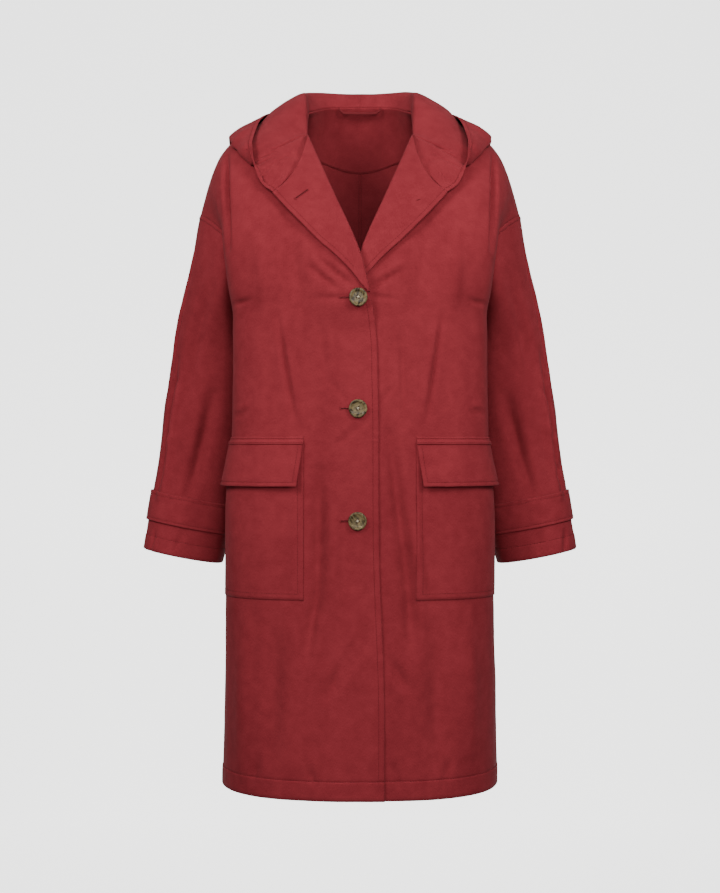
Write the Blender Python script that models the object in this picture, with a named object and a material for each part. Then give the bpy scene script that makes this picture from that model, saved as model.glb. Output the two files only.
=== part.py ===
"""Hooded single-breasted cotton coat, filled out and hollow, with its hood turned down.

Metres, +Z up. The front faces -Y and the wearer's left is +X. The origin is the middle of the
neck, level with the back neck seam. Tables give the wearer's left half; the right half is its
mirror image, but for the front edges, which lap right over left.
"""

import math
from collections import namedtuple

import bpy
import numpy as np
from mathutils import Vector
from mathutils.bvhtree import BVHTree

# Cloth walls, the gap between sewn pieces, and how much further a seam is pulled in where the
# pieces meet at a sharp angle, down the side and under the arm
WALL = 0.0015
FACING_WALL = 0.0012
TRIM_WALL = 0.0014
SEAM_GAP = 0.0008
MOST_PULL = 0.0060
SHARP_SEAM_EASE = 0.8
SIDE_SEAM_EASE = 1.8
UNDERARM_EASE = 1.8
LAYER_GAP = 0.0007

# Body, one row for each level cut: how far it reaches and how far the arm presses its side in
Section = namedtuple("Section", "z half_width widest_y front back arm_press")
BODY = (
    Section(-0.325, 0.1815, -0.070, 0.151, 0.130, 0.016),
    Section(-0.400, 0.1815, -0.070, 0.153, 0.132, 0.031),
    Section(-0.500, 0.1825, -0.070, 0.155, 0.135, 0.034),
    Section(-0.620, 0.1890, -0.062, 0.156, 0.138, 0.030),
    Section(-0.720, 0.1920, -0.048, 0.157, 0.142, 0.012),
    Section(-0.860, 0.1960, -0.020, 0.159, 0.147, 0.000),
    Section(-1.003, 0.2000, 0.000, 0.160, 0.150, 0.000),
)
BODY_SQUARENESS = 2.6
OUTLINE_POINTS = 60
POINTS_PAST_CENTRE = 7
SIDE_SEAM_Y = 0.030

# Patch pockets, flaps and the stitched bands above them
POCKET_EDGE_X = 0.078
BAND_TOP_Z = -0.503
FLAP_TOP_Z = -0.5115
FLAP_BOTTOM_Z = -0.571
POCKET_BOTTOM_Z = -0.7275
FLAP_FLARE = 0.006
FLAP_FLARE_POWER = 1.3
FLAP_SLANT = 0.28

# Levels of the rows below the underarm, and columns across a front from its edge to the side
LOWER_LEVELS = (
    -0.355, -0.385, -0.420, -0.462, BAND_TOP_Z, FLAP_TOP_Z, -0.540, FLAP_BOTTOM_Z,
    -0.610, -0.650, -0.690, POCKET_BOTTOM_Z, -0.780, -0.840, -0.900, -0.955, -1.003,
)
UPPER_ROWS = 10
EDGE_COLUMNS = 3
FRONT_COLUMNS = 10
NECK_COLUMNS = 5
NECK_DROP = 0.48
NECK_DROP_REACH = 2.5

# Shoulder line from the side of the neck to the dropped armhole
SHOULDER = (
    (0.076, 0.015, -0.020), (0.110, 0.013, -0.032), (0.150, 0.011, -0.047),
    (0.189, 0.010, -0.066), (0.208, 0.010, -0.090), (0.217, 0.010, -0.112),
    (0.2265, 0.010, -0.140), (0.237, 0.010, -0.179),
)
BACK_NECK = ((0.0, 0.075, 0.0), (0.045, 0.064, -0.003), (0.076, 0.015, -0.020))

# Armhole from the top of the sleeve to the underarm, round the front and round the back
ARMHOLE_SPACING = 1.9
ARMHOLE_FRONT = (
    (0.237, 0.010, -0.179), (0.2325, -0.014, -0.183), (0.211, -0.044, -0.199),
    (0.188, -0.065, -0.224), (0.181, -0.060, -0.260), (0.172, -0.030, -0.294),
)
ARMHOLE_PULL_POWER = 3
ARMHOLE_BACK = (
    (0.237, 0.010, -0.179), (0.2325, 0.034, -0.183), (0.213, 0.068, -0.194),
    (0.189, 0.096, -0.222), (0.172, 0.088, -0.268),
)

# Fold between the chest and the sleeve head, on the front above the armhole
ARM_FOLD_X = 0.192
ARM_FOLD_TOP_Z = -0.085
ARM_FOLD_FALL = 0.120
ARM_FOLD_DEPTH = 0.006
ARM_FOLD_HALF_WIDTH = 0.010
ARM_FOLD_END_Z = -0.180
ARM_FOLD_FADE = 0.045

# Front neck, then the roll line of the lapel down to its break
FRONT_NECK = ((0.076, 0.015, -0.020), (0.0770, -0.017, -0.046), (0.077, -0.044, -0.070))
ROLL_LINE = (
    (0.077, -0.044, -0.070), (0.057, -0.086, -0.120), (0.0285, -0.120, -0.187),
    (0.0014, -0.146, -0.2526), (-0.0105, -0.1515, -0.303),
)
NECK_ROWS = 3
LAST_LAPEL_ROW = 9

# Front edge below the break: its place past the centre line at each level
FrontEdge = namedtuple("FrontEdge", "z upper under")
FRONT_EDGE = (
    FrontEdge(-0.325, 0.0170, 0.0175),
    FrontEdge(-0.357, 0.0215, 0.0250),
    FrontEdge(-0.430, 0.0241, 0.0270),
    FrontEdge(-0.672, 0.0262, 0.0270),
    FrontEdge(-0.865, 0.0330, 0.0270),
    FrontEdge(-1.003, 0.0330, 0.0270),
)
LAP_LIFT = 0.0026
LAP_BREAK_LIFT = 0.0110
LAP_TOP_Z = -0.120
LAP_TOP_FADE = 0.100
LAP_BREAK_Z = -0.350
LAP_BREAK_FADE = 0.040
LAP_FULL_X = 0.030
LAP_EASE_X = 0.085

# Lapel: outer edge, top edge (the neck seam turned out) and how far it stands off the chest
LAPEL_EDGE = (
    (0.1208, -0.1647), (0.0890, -0.1997), (0.0526, -0.2344), (0.0124, -0.2729),
    (0.0020, -0.2870), (-0.0075, -0.2990),
)
LAPEL_TOP = ((0.0770, -0.0700), (0.0853, -0.1113), (0.1013, -0.1440), (0.1208, -0.1647))
LAPEL_COLUMNS = 4
ROLL_LIFT = 0.0032
LAPEL_TOP_LIFT = 0.010
FACING_RETURN = 0.012

# Sleeve, one row for each cut: its centre's height, the sides' places, depth and tilt
Cut = namedtuple("Cut", "z outer inner centre_y half_depth tilt")
SLEEVE = (
    Cut(-0.385, 0.2775, 0.1660, 0.032, 0.052, 8.0),
    Cut(-0.460, 0.2905, 0.1680, 0.034, 0.053, 9.0),
    Cut(-0.540, 0.2998, 0.1760, 0.034, 0.052, 10.0),
    Cut(-0.600, 0.3090, 0.1870, 0.031, 0.051, 11.0),
    Cut(-0.677, 0.3218, 0.2059, 0.026, 0.050, 11.0),
)
SLEEVE_CAP_ROWS = 5
SLEEVE_SPRING = 0.090
STRAP_TOP_Z = -0.593
STRAP_BOTTOM_Z = -0.635
SLEEVE_LEVELS = (-0.385, -0.425, -0.465, -0.508, -0.552, STRAP_TOP_Z, STRAP_BOTTOM_Z, -0.677)

STRAP_STAND_OFF = 0.0012

# Hood, one row for each section from the lapel round to the centre back. "at" counts points
# along the neck seam; the cloth runs from that seam over the crest, down a slope and into a dip
# to the pouch's fold, then up its outer wall to the rim of the face opening.
HoodSection = namedtuple("HoodSection", "at crest slope dip fold outer rim")
HOOD = (
    HoodSection(1, (0.1040, -0.1105, -0.1385), (0.1120, -0.1115, -0.1405),
                (0.1210, -0.1125, -0.1430), (0.1285, -0.1130, -0.1450),
                (0.1330, -0.1135, -0.1462), (0.1375, -0.1135, -0.1470)),
    HoodSection(2, (0.0970, -0.0980, -0.1180), (0.1120, -0.1000, -0.1205),
                (0.1260, -0.1005, -0.1230), (0.1380, -0.1010, -0.1255),
                (0.1435, -0.1030, -0.1265), (0.1475, -0.1040, -0.1265)),
    HoodSection(4, (0.0860, -0.0640, -0.0755), (0.1150, -0.0830, -0.0960),
                (0.1380, -0.0865, -0.1070), (0.1545, -0.0865, -0.1160),
                (0.1555, -0.0935, -0.1080), (0.1535, -0.0960, -0.0985)),
    HoodSection(6, (0.0815, -0.0400, -0.0580), (0.1180, -0.0700, -0.0800),
                (0.1430, -0.0770, -0.0950), (0.1625, -0.0780, -0.1080),
                (0.1615, -0.0865, -0.0980), (0.1543, -0.0880, -0.0880)),
    HoodSection(7, (0.0825, -0.0230, -0.0320), (0.1220, -0.0510, -0.0610),
                (0.1480, -0.0640, -0.0810), (0.1730, -0.0680, -0.0960),
                (0.1670, -0.0770, -0.0860), (0.1543, -0.0740, -0.0760)),
    HoodSection(8, (0.0830, -0.0050, -0.0080), (0.1280, -0.0180, -0.0340),
                (0.1500, -0.0260, -0.0550), (0.1870, -0.0270, -0.0722),
                (0.1730, -0.0360, -0.0600), (0.1505, -0.0380, -0.0510)),
    HoodSection(9, (0.0830, 0.0200, 0.0100), (0.1290, 0.0180, -0.0155),
                (0.1520, 0.0120, -0.0422), (0.1929, 0.0120, -0.0585),
                (0.1750, 0.0050, -0.0430), (0.1456, -0.0080, -0.0335)),
    HoodSection(10, (0.0800, 0.0450, 0.0165), (0.1180, 0.0480, -0.0070),
                (0.1480, 0.0480, -0.0440), (0.1910, 0.0480, -0.0770),
                (0.1790, 0.0540, -0.0420), (0.1350, 0.0280, -0.0190)),
    HoodSection(11, (0.0640, 0.0680, 0.0215), (0.0940, 0.0810, -0.0010),
                (0.1300, 0.0920, -0.0620), (0.1750, 0.0930, -0.1240),
                (0.1720, 0.1150, -0.0560), (0.1150, 0.0820, -0.0060)),
    HoodSection(12.3, (0.0400, 0.0830, 0.0235), (0.0540, 0.1100, -0.0040),
                (0.0850, 0.1220, -0.0900), (0.1150, 0.1430, -0.1950),
                (0.1200, 0.1680, -0.1000), (0.0750, 0.1380, -0.0060)),
    HoodSection(14, (0.0000, 0.0870, 0.0233), (0.0000, 0.1160, -0.0060),
                (0.0000, 0.1330, -0.1000), (0.0000, 0.1600, -0.2350),
                (0.0000, 0.1920, -0.1200), (0.0000, 0.1600, -0.0100)),
)
HOOD_STEPS = 2
HOOD_SEAM_RISE = 0.0042
HOOD_ON_LAPEL = (0.0, 0.12, 0.34, 0.56, 0.78, 1.0)

# Facings: how far they stop short of the neck seam, and how much of the back one covers
FACING_PULL = 0.0018
FACING_ROWS = 4
FACING_COLUMNS = 8

# Hanger loop: half of its path below the back neck seam, and its width
LOOP_PATH = ((0.0320, 0.0645, -0.0025), (0.0245, 0.0660, -0.0085), (0.0, 0.0670, -0.0090))
LOOP_WIDTH = 0.0034

# Buttons: places on the upper front, and the turned profile from the back's middle to the face's
BUTTON_PLACES = ((0.0024, -0.3110), (0.0028, -0.4637), (0.0034, -0.6185))
BUTTON_PROFILE = (
    (0.0000, 0.0000), (0.0098, 0.0000), (0.0122, 0.0010), (0.0127, 0.0022), (0.0118, 0.0036),
    (0.0098, 0.0036), (0.0078, 0.0025), (0.0000, 0.0023),
)
BUTTON_SIDES = 22
BUTTON_HOLE_RADIUS = 0.0011
DRILL_SPAN = (-0.001, 0.005)
BUTTON_HOLE_OFFSET = 0.0022
BUTTON_HOLE_SIDES = 8
BUTTON_SHANK = 0.0012

CLOTH_RED = (0.310, 0.032, 0.038)
LOOP_RED = (0.260, 0.026, 0.032)
HORN = (0.190, 0.130, 0.060)


# ---- curves

def along(points, fractions):
    """Points at the given fractions of a smooth curve through the given points."""
    values = np.asarray(points, dtype=float)
    steps = np.linalg.norm(np.diff(values, axis=0), axis=1)
    knots = np.concatenate(([0.0], np.cumsum(steps))) / steps.sum()
    return spline(knots, values, np.asarray(fractions, dtype=float))


def spline(knots, values, at):
    """Cubic through the values, with the slope at each knot weighted by its two spans."""
    knots = np.asarray(knots, dtype=float)
    values = np.asarray(values, dtype=float)
    at = np.atleast_1d(at)
    spans = np.diff(knots)
    slopes = np.diff(values, axis=0) / spans.reshape(-1, *([1] * (values.ndim - 1)))
    tangents = np.empty_like(values)
    tangents[0] = slopes[0]
    tangents[-1] = slopes[-1]
    for i in range(1, len(knots) - 1):
        before, after = spans[i - 1], spans[i]
        tangents[i] = (slopes[i - 1] * after + slopes[i] * before) / (before + after)
    cell = np.clip(np.searchsorted(knots, at, side="right") - 1, 0, len(spans) - 1)
    t = (at - knots[cell]) / spans[cell]
    shape = (-1, *([1] * (values.ndim - 1)))
    t = t.reshape(shape)
    span = spans[cell].reshape(shape)
    rise = (1 + 2 * t) * (1 - t) ** 2 * values[cell] + t * t * (3 - 2 * t) * values[cell + 1]
    return rise + t * (1 - t) ** 2 * span * tangents[cell] - t * t * (1 - t) * span * tangents[cell + 1]


def column(table, name):
    return np.array([getattr(row, name) for row in table])


def read(table, key, name, at):
    """A column of a table, read smoothly at a value of its key column, which falls."""
    return float(spline(-column(table, key), column(table, name), np.array([-at]))[0])


def smooth(t):
    t = np.clip(t, 0.0, 1.0)
    return t * t * (3 - 2 * t)


def by_length(line, starts):
    """Points of a polyline at the given distances along it."""
    steps = np.linalg.norm(np.diff(line, axis=0), axis=1)
    run = np.concatenate(([0.0], np.cumsum(steps)))
    return np.stack([np.interp(starts, run, line[:, axis]) for axis in range(line.shape[1])], axis=1)


def length_at(line, axis, value):
    """Distance along a polyline to where one coordinate first reaches a value."""
    steps = np.linalg.norm(np.diff(line, axis=0), axis=1)
    run = np.concatenate(([0.0], np.cumsum(steps)))
    past = int(np.argmax(line[:, axis] >= value))
    a, b = line[past - 1, axis], line[past, axis]
    return run[past - 1] + (run[past] - run[past - 1]) * (value - a) / (b - a)


def unit(vectors):
    return vectors / np.maximum(np.linalg.norm(vectors, axis=-1, keepdims=True), 1e-9)


# ---- body panels

def outline(z):
    """Half of the body's level cut as (x, y) points, from past the centre front to the back."""
    width = read(BODY, "z", "half_width", z)
    widest = read(BODY, "z", "widest_y", z)
    front = read(BODY, "z", "front", z)
    back = read(BODY, "z", "back", z)
    press = max(read(BODY, "z", "arm_press", z), 0.0)
    turn = np.linspace(0.0, math.pi / 2, OUTLINE_POINTS)
    power = 2 / BODY_SQUARENESS
    x = width * np.sin(turn) ** power
    y = widest - (front + widest) * np.cos(turn) ** power
    x_back = width * np.cos(turn[1:]) ** power
    y_back = widest + (back - widest) * np.sin(turn[1:]) ** power
    x_back *= 1 - press / width * smooth((y_back - widest) / (SIDE_SEAM_Y - widest))
    half = np.column_stack((np.concatenate((x, x_back)), np.concatenate((y, y_back))))
    past = half[1 : POINTS_PAST_CENTRE + 1][::-1] * (-1, 1)
    return np.concatenate((past, half))


def front_row(z, edge_x):
    """A level row of a front, from its edge past the centre line to the side seam."""
    line = outline(z)
    edge = length_at(line, 0, -edge_x)
    pocket = length_at(line, 0, POCKET_EDGE_X)
    side = length_at(line, 1, SIDE_SEAM_Y)
    inner = np.linspace(edge, pocket, EDGE_COLUMNS + 1)
    outer = np.linspace(pocket, side, FRONT_COLUMNS - EDGE_COLUMNS + 1)[1:]
    row = by_length(line, np.concatenate((inner, outer)))
    return np.column_stack((row, np.full(len(row), z)))


def back_row(z):
    """A level row of half the back, from the centre seam to the side seam."""
    line = outline(z)
    side = length_at(line, 1, SIDE_SEAM_Y)
    end = np.linalg.norm(np.diff(line, axis=0), axis=1).sum()
    row = by_length(line, np.linspace(end, side, NECK_COLUMNS + FRONT_COLUMNS + 1))
    return np.column_stack((row, np.full(len(row), z)))


def shoulder_sweep(top, bottom, drop):
    """Rows that leave the shoulder level and come down upright, like a quarter of an ellipse."""
    rows = []
    for j in range(UPPER_ROWS + 1):
        v = j / UPPER_ROWS
        out = math.sin(v * math.pi / 2)
        down = (1 - drop) * (1 - math.cos(v * math.pi / 2)) + drop * v
        row = top + (bottom - top) * np.array([v, out, 0.0])
        row[:, 2] = top[:, 2] + (bottom[:, 2] - top[:, 2]) * down
        rows.append(row)
    return np.array(rows)


def pull_to_armhole(rows, armhole):
    reach = np.linspace(0.0, 1.0, rows.shape[1]) ** ARMHOLE_PULL_POWER
    return rows + (armhole - rows[:, -1])[:, None, :] * reach[None, :, None]


def fractions(count):
    return np.linspace(0.0, 1.0, count + 1)


def front_grid(upper):
    """Rows and columns of points of a front, without its lapel, for the left half's side."""
    lap = "upper" if upper else "under"
    underarm = BODY[0].z
    bottom = front_row(underarm, read(FRONT_EDGE, "z", lap, underarm))
    top = along(SHOULDER, fractions(FRONT_COLUMNS))
    rows = shoulder_sweep(top, bottom, 0.0)
    armhole = along((*ARMHOLE_FRONT, bottom[-1]), fractions(UPPER_ROWS) ** ARMHOLE_SPACING)
    rows = pull_to_armhole(rows, armhole)
    roll = along(ROLL_LINE, fractions(LAST_LAPEL_ROW - NECK_ROWS))
    edge = np.concatenate((along(FRONT_NECK, fractions(NECK_ROWS)), roll[1:], bottom[:1]))
    fade = (1 - np.linspace(0.0, 1.0, rows.shape[1])) ** 2
    rows = rows + (edge - rows[:, 0])[:, None, :] * fade[None, :, None]
    rows = arm_fold(rows)
    lower = [front_row(z, read(FRONT_EDGE, "z", lap, z)) for z in LOWER_LEVELS]
    grid = np.concatenate((rows, lower))
    if upper:
        grid = lift_lap(grid)
    return grid


def arm_fold(rows):
    """Press the fold between chest and sleeve head into the upper rows."""
    deep = smooth((ARM_FOLD_TOP_Z - rows[..., 2]) / ARM_FOLD_FALL) * ARM_FOLD_DEPTH
    across = np.exp(-(((rows[..., 0] - ARM_FOLD_X) / ARM_FOLD_HALF_WIDTH) ** 2))
    free = 1 - np.linspace(0.0, 1.0, rows.shape[1]) ** 6
    ending = 1 - smooth((ARM_FOLD_END_Z - rows[..., 2]) / ARM_FOLD_FADE)
    rows = rows.copy()
    rows[..., 1] += np.where(rows[..., 1] < 0.0, deep * across * free * ending, 0.0)
    return rows


def lift_lap(grid):
    """Carry the upper front's edge forward so that it lies on the under front."""
    grid = grid.copy()
    near_edge = smooth((LAP_EASE_X - grid[..., 0]) / (LAP_EASE_X - LAP_FULL_X))
    below_neck = smooth((LAP_TOP_Z - grid[..., 2]) / LAP_TOP_FADE)
    at_break = smooth((grid[..., 2] - LAP_BREAK_Z) / LAP_BREAK_FADE)
    lift = LAP_LIFT + (LAP_BREAK_LIFT - LAP_LIFT) * at_break
    grid[..., 1] -= lift * near_edge * below_neck
    return grid


def back_grid():
    underarm = BODY[0].z
    bottom = back_row(underarm)
    shoulder = along(SHOULDER, fractions(FRONT_COLUMNS))
    neck = along(BACK_NECK, fractions(NECK_COLUMNS))
    top = np.concatenate((neck[:-1], shoulder))
    drop = NECK_DROP * (1 - smooth(np.linspace(0.0, NECK_DROP_REACH, len(top))))
    rows = shoulder_sweep(top, bottom, drop)
    armhole = along((*ARMHOLE_BACK, bottom[-1]), fractions(UPPER_ROWS))
    rows = pull_to_armhole(rows, armhole)
    return np.concatenate((rows, [back_row(z) for z in LOWER_LEVELS]))


def into(seam, inside, closed=False):
    """Directions square to a seam that run from its points into the cloth."""
    run = np.concatenate((seam[-1:], seam, seam[:1])) if closed else seam
    along_seam = unit(np.gradient(run, axis=0))
    if closed:
        along_seam = along_seam[1:-1]
    step = inside - seam
    return unit(step - along_seam * np.sum(step * along_seam, axis=1, keepdims=True))


def side_directions(grid):
    """Directions into a panel from its armhole, then from its side seam."""
    armhole = into(grid[: UPPER_ROWS + 1, -1], grid[: UPPER_ROWS + 1, -2])
    return np.concatenate((armhole[:-1], into(grid[UPPER_ROWS:, -1], grid[UPPER_ROWS:, -2])))


def seam_pull(one, other):
    """How far two cloths stop before their shared seam, more where they meet at a sharp angle.

    Both arguments are the directions that run square from the seam's points into the cloths.
    """
    half = np.arccos(np.clip(np.sum(one * other, axis=-1), -0.999, 0.999)) / 2
    pull = SEAM_GAP / 2 / np.sin(half) + WALL / 2 / np.tan(half)
    pull = np.minimum(pull * (1 + SHARP_SEAM_EASE * np.cos(half)), MOST_PULL)
    near = np.pad(pull, 1, mode="edge")
    return np.maximum(pull, (pull + np.maximum(near[:-2], near[2:])) / 2)[:, None]


def off_centre(grid):
    """Draw a grid's last column back from the centre seam, where it meets its mirror image."""
    grid = grid.copy()
    inward = into(grid[:, -1], grid[:, -2])
    grid[:, -1] += inward * seam_pull(inward, mirrored(inward, -1))
    return grid


# ---- sleeves

def sleeve_ring(z, angles):
    tilt = math.radians(read(SLEEVE, "z", "tilt", z))
    outer = read(SLEEVE, "z", "outer", z)
    inner = read(SLEEVE, "z", "inner", z)
    depth = read(SLEEVE, "z", "half_depth", z)
    middle = np.array([(outer + inner) / 2, read(SLEEVE, "z", "centre_y", z), z])
    out = np.array([math.cos(tilt), 0.0, math.sin(tilt)]) * (outer - inner) / 2 / math.cos(tilt)
    forward = np.array([0.0, -depth, 0.0])
    return middle + np.cos(angles)[:, None] * out + np.sin(angles)[:, None] * forward


def sleeve_grid(front, back):
    """Rings of points from the armhole to the cuff, each starting at the outer side."""
    ahead = front[: UPPER_ROWS + 1, -1]
    behind = back[: UPPER_ROWS + 1, -1][::-1]
    loop = np.concatenate((ahead, behind[1:-1]))
    angles = np.concatenate((half_turn(ahead), math.pi + half_turn(behind)[1:-1]))
    rings = [sleeve_ring(z, angles) for z in SLEEVE_LEVELS]
    tilt = math.radians(SLEEVE[0].tilt)
    axis = np.array([math.sin(tilt), 0.0, -math.cos(tilt)])
    span = rings[0] - loop
    length = np.linalg.norm(span, axis=1, keepdims=True)
    inner = (0.5 - 0.5 * np.cos(angles))[:, None]
    start = length * axis * (1 - inner) + span * inner + inner * np.array([SLEEVE_SPRING, 0.0, 0.0])
    cap = []
    for k in range(SLEEVE_CAP_ROWS):
        t = k / SLEEVE_CAP_ROWS
        point = (1 + 2 * t) * (1 - t) ** 2 * loop + t * t * (3 - 2 * t) * rings[0]
        cap.append(point + t * (1 - t) ** 2 * start - t * t * (1 - t) * length * axis)
    return np.array(cap + rings)


def half_turn(points):
    steps = np.linalg.norm(np.diff(points, axis=0), axis=1)
    return np.concatenate(([0.0], np.cumsum(steps))) / steps.sum() * math.pi


# ---- building objects

def mirrored(points, side):
    return points * np.array([side, 1.0, 1.0])


class Sheet:
    """Points and faces of one piece of cloth, before it is given its thickness."""

    def __init__(self, side):
        self.side = side
        self.points = []
        self.faces = []

    def add(self, points):
        start = sum(len(block) for block in self.points)
        self.points.append(points.reshape(-1, 3))
        return start + np.arange(points.reshape(-1, 3).shape[0]).reshape(points.shape[:-1])

    def join(self, index, closed=False, turned=False):
        """Faces over a grid of point numbers, outward where columns run away from the centre."""
        if closed:
            index = np.concatenate((index, index[:, :1]), axis=1)
        a, b = index[:-1, :-1].ravel(), index[:-1, 1:].ravel()
        c, d = index[1:, 1:].ravel(), index[1:, :-1].ravel()
        if turned != (self.side < 0):
            b, d = d, b
        self.faces += np.column_stack((a, d, c)).tolist() + np.column_stack((a, c, b)).tolist()

    def build(self, name, wall, colour):
        points = mirrored(np.concatenate(self.points), self.side)
        mesh = bpy.data.meshes.new(name)
        mesh.from_pydata(points.tolist(), [], self.faces)
        mesh.validate()
        mesh.shade_smooth()
        piece = bpy.data.objects.new(name, mesh)
        bpy.context.scene.collection.objects.link(piece)
        thicken = piece.modifiers.new("wall", "SOLIDIFY")
        thicken.thickness = wall
        thicken.offset = 0.0
        thicken.use_even_offset = True
        thicken.use_quality_normals = True
        mesh.materials.append(cloth_material(name, colour))
        return piece


def cloth_material(name, colour):
    material = bpy.data.materials.new(name)
    material.use_nodes = True
    shader = material.node_tree.nodes["Principled BSDF"]
    shader.inputs["Base Color"].default_value = (*colour, 1.0)
    shader.inputs["Roughness"].default_value = 0.85
    return material


def tree(points_grids):
    """A search tree over grids of points, to lay other pieces on them."""
    points, faces, start = [], [], 0
    for grid in points_grids:
        index = start + np.arange(grid.shape[0] * grid.shape[1]).reshape(grid.shape[:2])
        start += index.size
        points += [Vector(p) for p in grid.reshape(-1, 3)]
        a, b = index[:-1, :-1].ravel(), index[:-1, 1:].ravel()
        c, d = index[1:, 1:].ravel(), index[1:, :-1].ravel()
        faces += np.column_stack((a, d, c, b)).tolist()
    return BVHTree.FromPolygons(points, faces)


def on_front(body, x, z, lift):
    """The point in front of (x, z) on the chest, moved out from the cloth."""
    place, normal, _, _ = body.ray_cast(Vector((x, -1.0, z)), Vector((0.0, 1.0, 0.0)))
    normal = normal if normal.y < 0 else -normal
    return np.array(place + normal * lift)


def front_normals(grid):
    """Outward directions at the points of a grid whose columns run away from the centre."""
    across = np.gradient(grid, axis=1)
    down = np.gradient(grid, axis=0)
    return unit(np.cross(down, across))


def lapel_grid(front, body):
    """Roll and turned-out strip of a lapel: a row for each row of the front that it joins."""
    rows = range(NECK_ROWS, LAST_LAPEL_ROW + 1)
    count = len(rows) - 1
    normals = front_normals(front)[NECK_ROWS : LAST_LAPEL_ROW + 1, 0]
    roll = front[NECK_ROWS : LAST_LAPEL_ROW + 1, 0]
    inward = unit(roll - front[NECK_ROWS : LAST_LAPEL_ROW + 1, 1])
    turn = roll + (normals + inward) * ROLL_LIFT / 2
    edge = along(LAPEL_EDGE, fractions(count))
    top = along(LAPEL_TOP, fractions(LAPEL_COLUMNS))
    strip = np.empty((count + 1, LAPEL_COLUMNS + 1, 3))
    for j in range(count + 1):
        full = LAPEL_TOP_LIFT + (ROLL_LIFT - LAPEL_TOP_LIFT) * smooth(j / count)
        for c in range(LAPEL_COLUMNS + 1):
            g = c / LAPEL_COLUMNS
            bow = (top[c] - (top[0] + (top[-1] - top[0]) * g)) * (1 - j / count) ** 2
            x, z = roll[j, [0, 2]] * (1 - g) + edge[j] * g + bow
            lift = ROLL_LIFT + (full - ROLL_LIFT) * g
            strip[j, c] = roll[j] + normals[j] * ROLL_LIFT if c == 0 else on_front(body, x, z, lift)
    return turn, strip


def facing_grid(front, turn, strip):
    """The facing on the lapel's shown face, from just inside the roll to the outer edge."""
    panel = front[NECK_ROWS : LAST_LAPEL_ROW + 1]
    cloth = np.concatenate((panel[:, 1:2], panel[:, :1], turn[:, None], strip), axis=1)
    cloth[:, 0] = cloth[:, 1] + unit(cloth[:, 0] - cloth[:, 1]) * FACING_RETURN
    across = np.diff(cloth, axis=1)
    down = np.gradient(cloth, axis=0)
    faces = unit(np.cross((down[:, 1:] + down[:, :-1]) / 2, across))
    before = np.concatenate((faces[:, :1], faces), axis=1)
    after = np.concatenate((faces, faces[:, -1:]), axis=1)
    outward = unit(before + after)
    mitre = 1 / np.maximum(np.sum(outward * before, axis=2, keepdims=True), 0.5)
    facing = cloth + outward * mitre * ((WALL + FACING_WALL) / 2 + LAYER_GAP)
    facing[0] += unit(facing[1] - facing[0]) * FACING_PULL
    return facing


def neck_chain(front, back, turn, strip, facing):
    """Points of the neck seam from the lapel's outer corner round to the centre back."""
    shown = (strip + facing[:, 3:]) / 2
    top = along(shown[0, ::-1], HOOD_ON_LAPEL)
    below = along(shown[1, ::-1], HOOD_ON_LAPEL)
    on_lapel = top + unit(top - below) * HOOD_SEAM_RISE
    rolled = (turn[:1] + facing[:1, 2]) / 2
    inside = np.concatenate((rolled, front[NECK_ROWS::-1, 0], back[0, NECK_COLUMNS - 1 :: -1]))
    return np.concatenate((on_lapel, inside + (0.0, 0.0, HOOD_SEAM_RISE)))


def hood_grid(chain):
    """Rows from the neck seam to the rim, columns from the lapel to the centre back."""
    corner, seam = chain[0], chain[1:]
    count = np.arange(1, len(seam))
    at = column(HOOD, "at")
    at = np.append(at, 2 * at[-1] - at[-2])
    keys = [seam]
    names = ("crest", "slope", "dip", "fold", "outer", "rim")
    for number, name in enumerate(names, start=1):
        first = seam[0] + (corner - seam[0]) * number / len(names)
        values = column(HOOD, name)
        beyond = values[-2:-1] * (-1, 1, 1)
        rest = spline(at, np.concatenate((values, beyond)), count)
        keys.append(np.concatenate((first[None], rest)))
    knots = np.arange(len(keys))
    return spline(knots, np.array(keys), np.linspace(0, knots[-1], HOOD_STEPS * knots[-1] + 1))


def sampled(grid, rows, columns):
    """Points of a grid at fractional rows and columns, on its flat faces."""
    rows = np.broadcast_to(rows, np.broadcast(rows, columns).shape)
    columns = np.broadcast_to(columns, rows.shape)
    r = np.clip(rows.astype(int), 0, grid.shape[0] - 2)
    c = np.clip(columns.astype(int), 0, grid.shape[1] - 2)
    u = (rows - r)[..., None]
    v = (columns - c)[..., None]
    upper = grid[r, c] * (1 - v) + grid[r, c + 1] * v
    lower = grid[r + 1, c] * (1 - v) + grid[r + 1, c + 1] * v
    return upper * (1 - u) + lower * u


def laid_on(grid, rows, columns, lift):
    """Points of a piece that lies on a panel, made from the panel's own points."""
    rows = np.asarray(rows, dtype=float)
    columns = np.asarray(columns, dtype=float)
    return sampled(grid, rows, columns) + sampled(front_normals(grid), rows, columns) * lift


def row_of(level):
    return UPPER_ROWS + 1 + LOWER_LEVELS.index(level)


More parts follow.
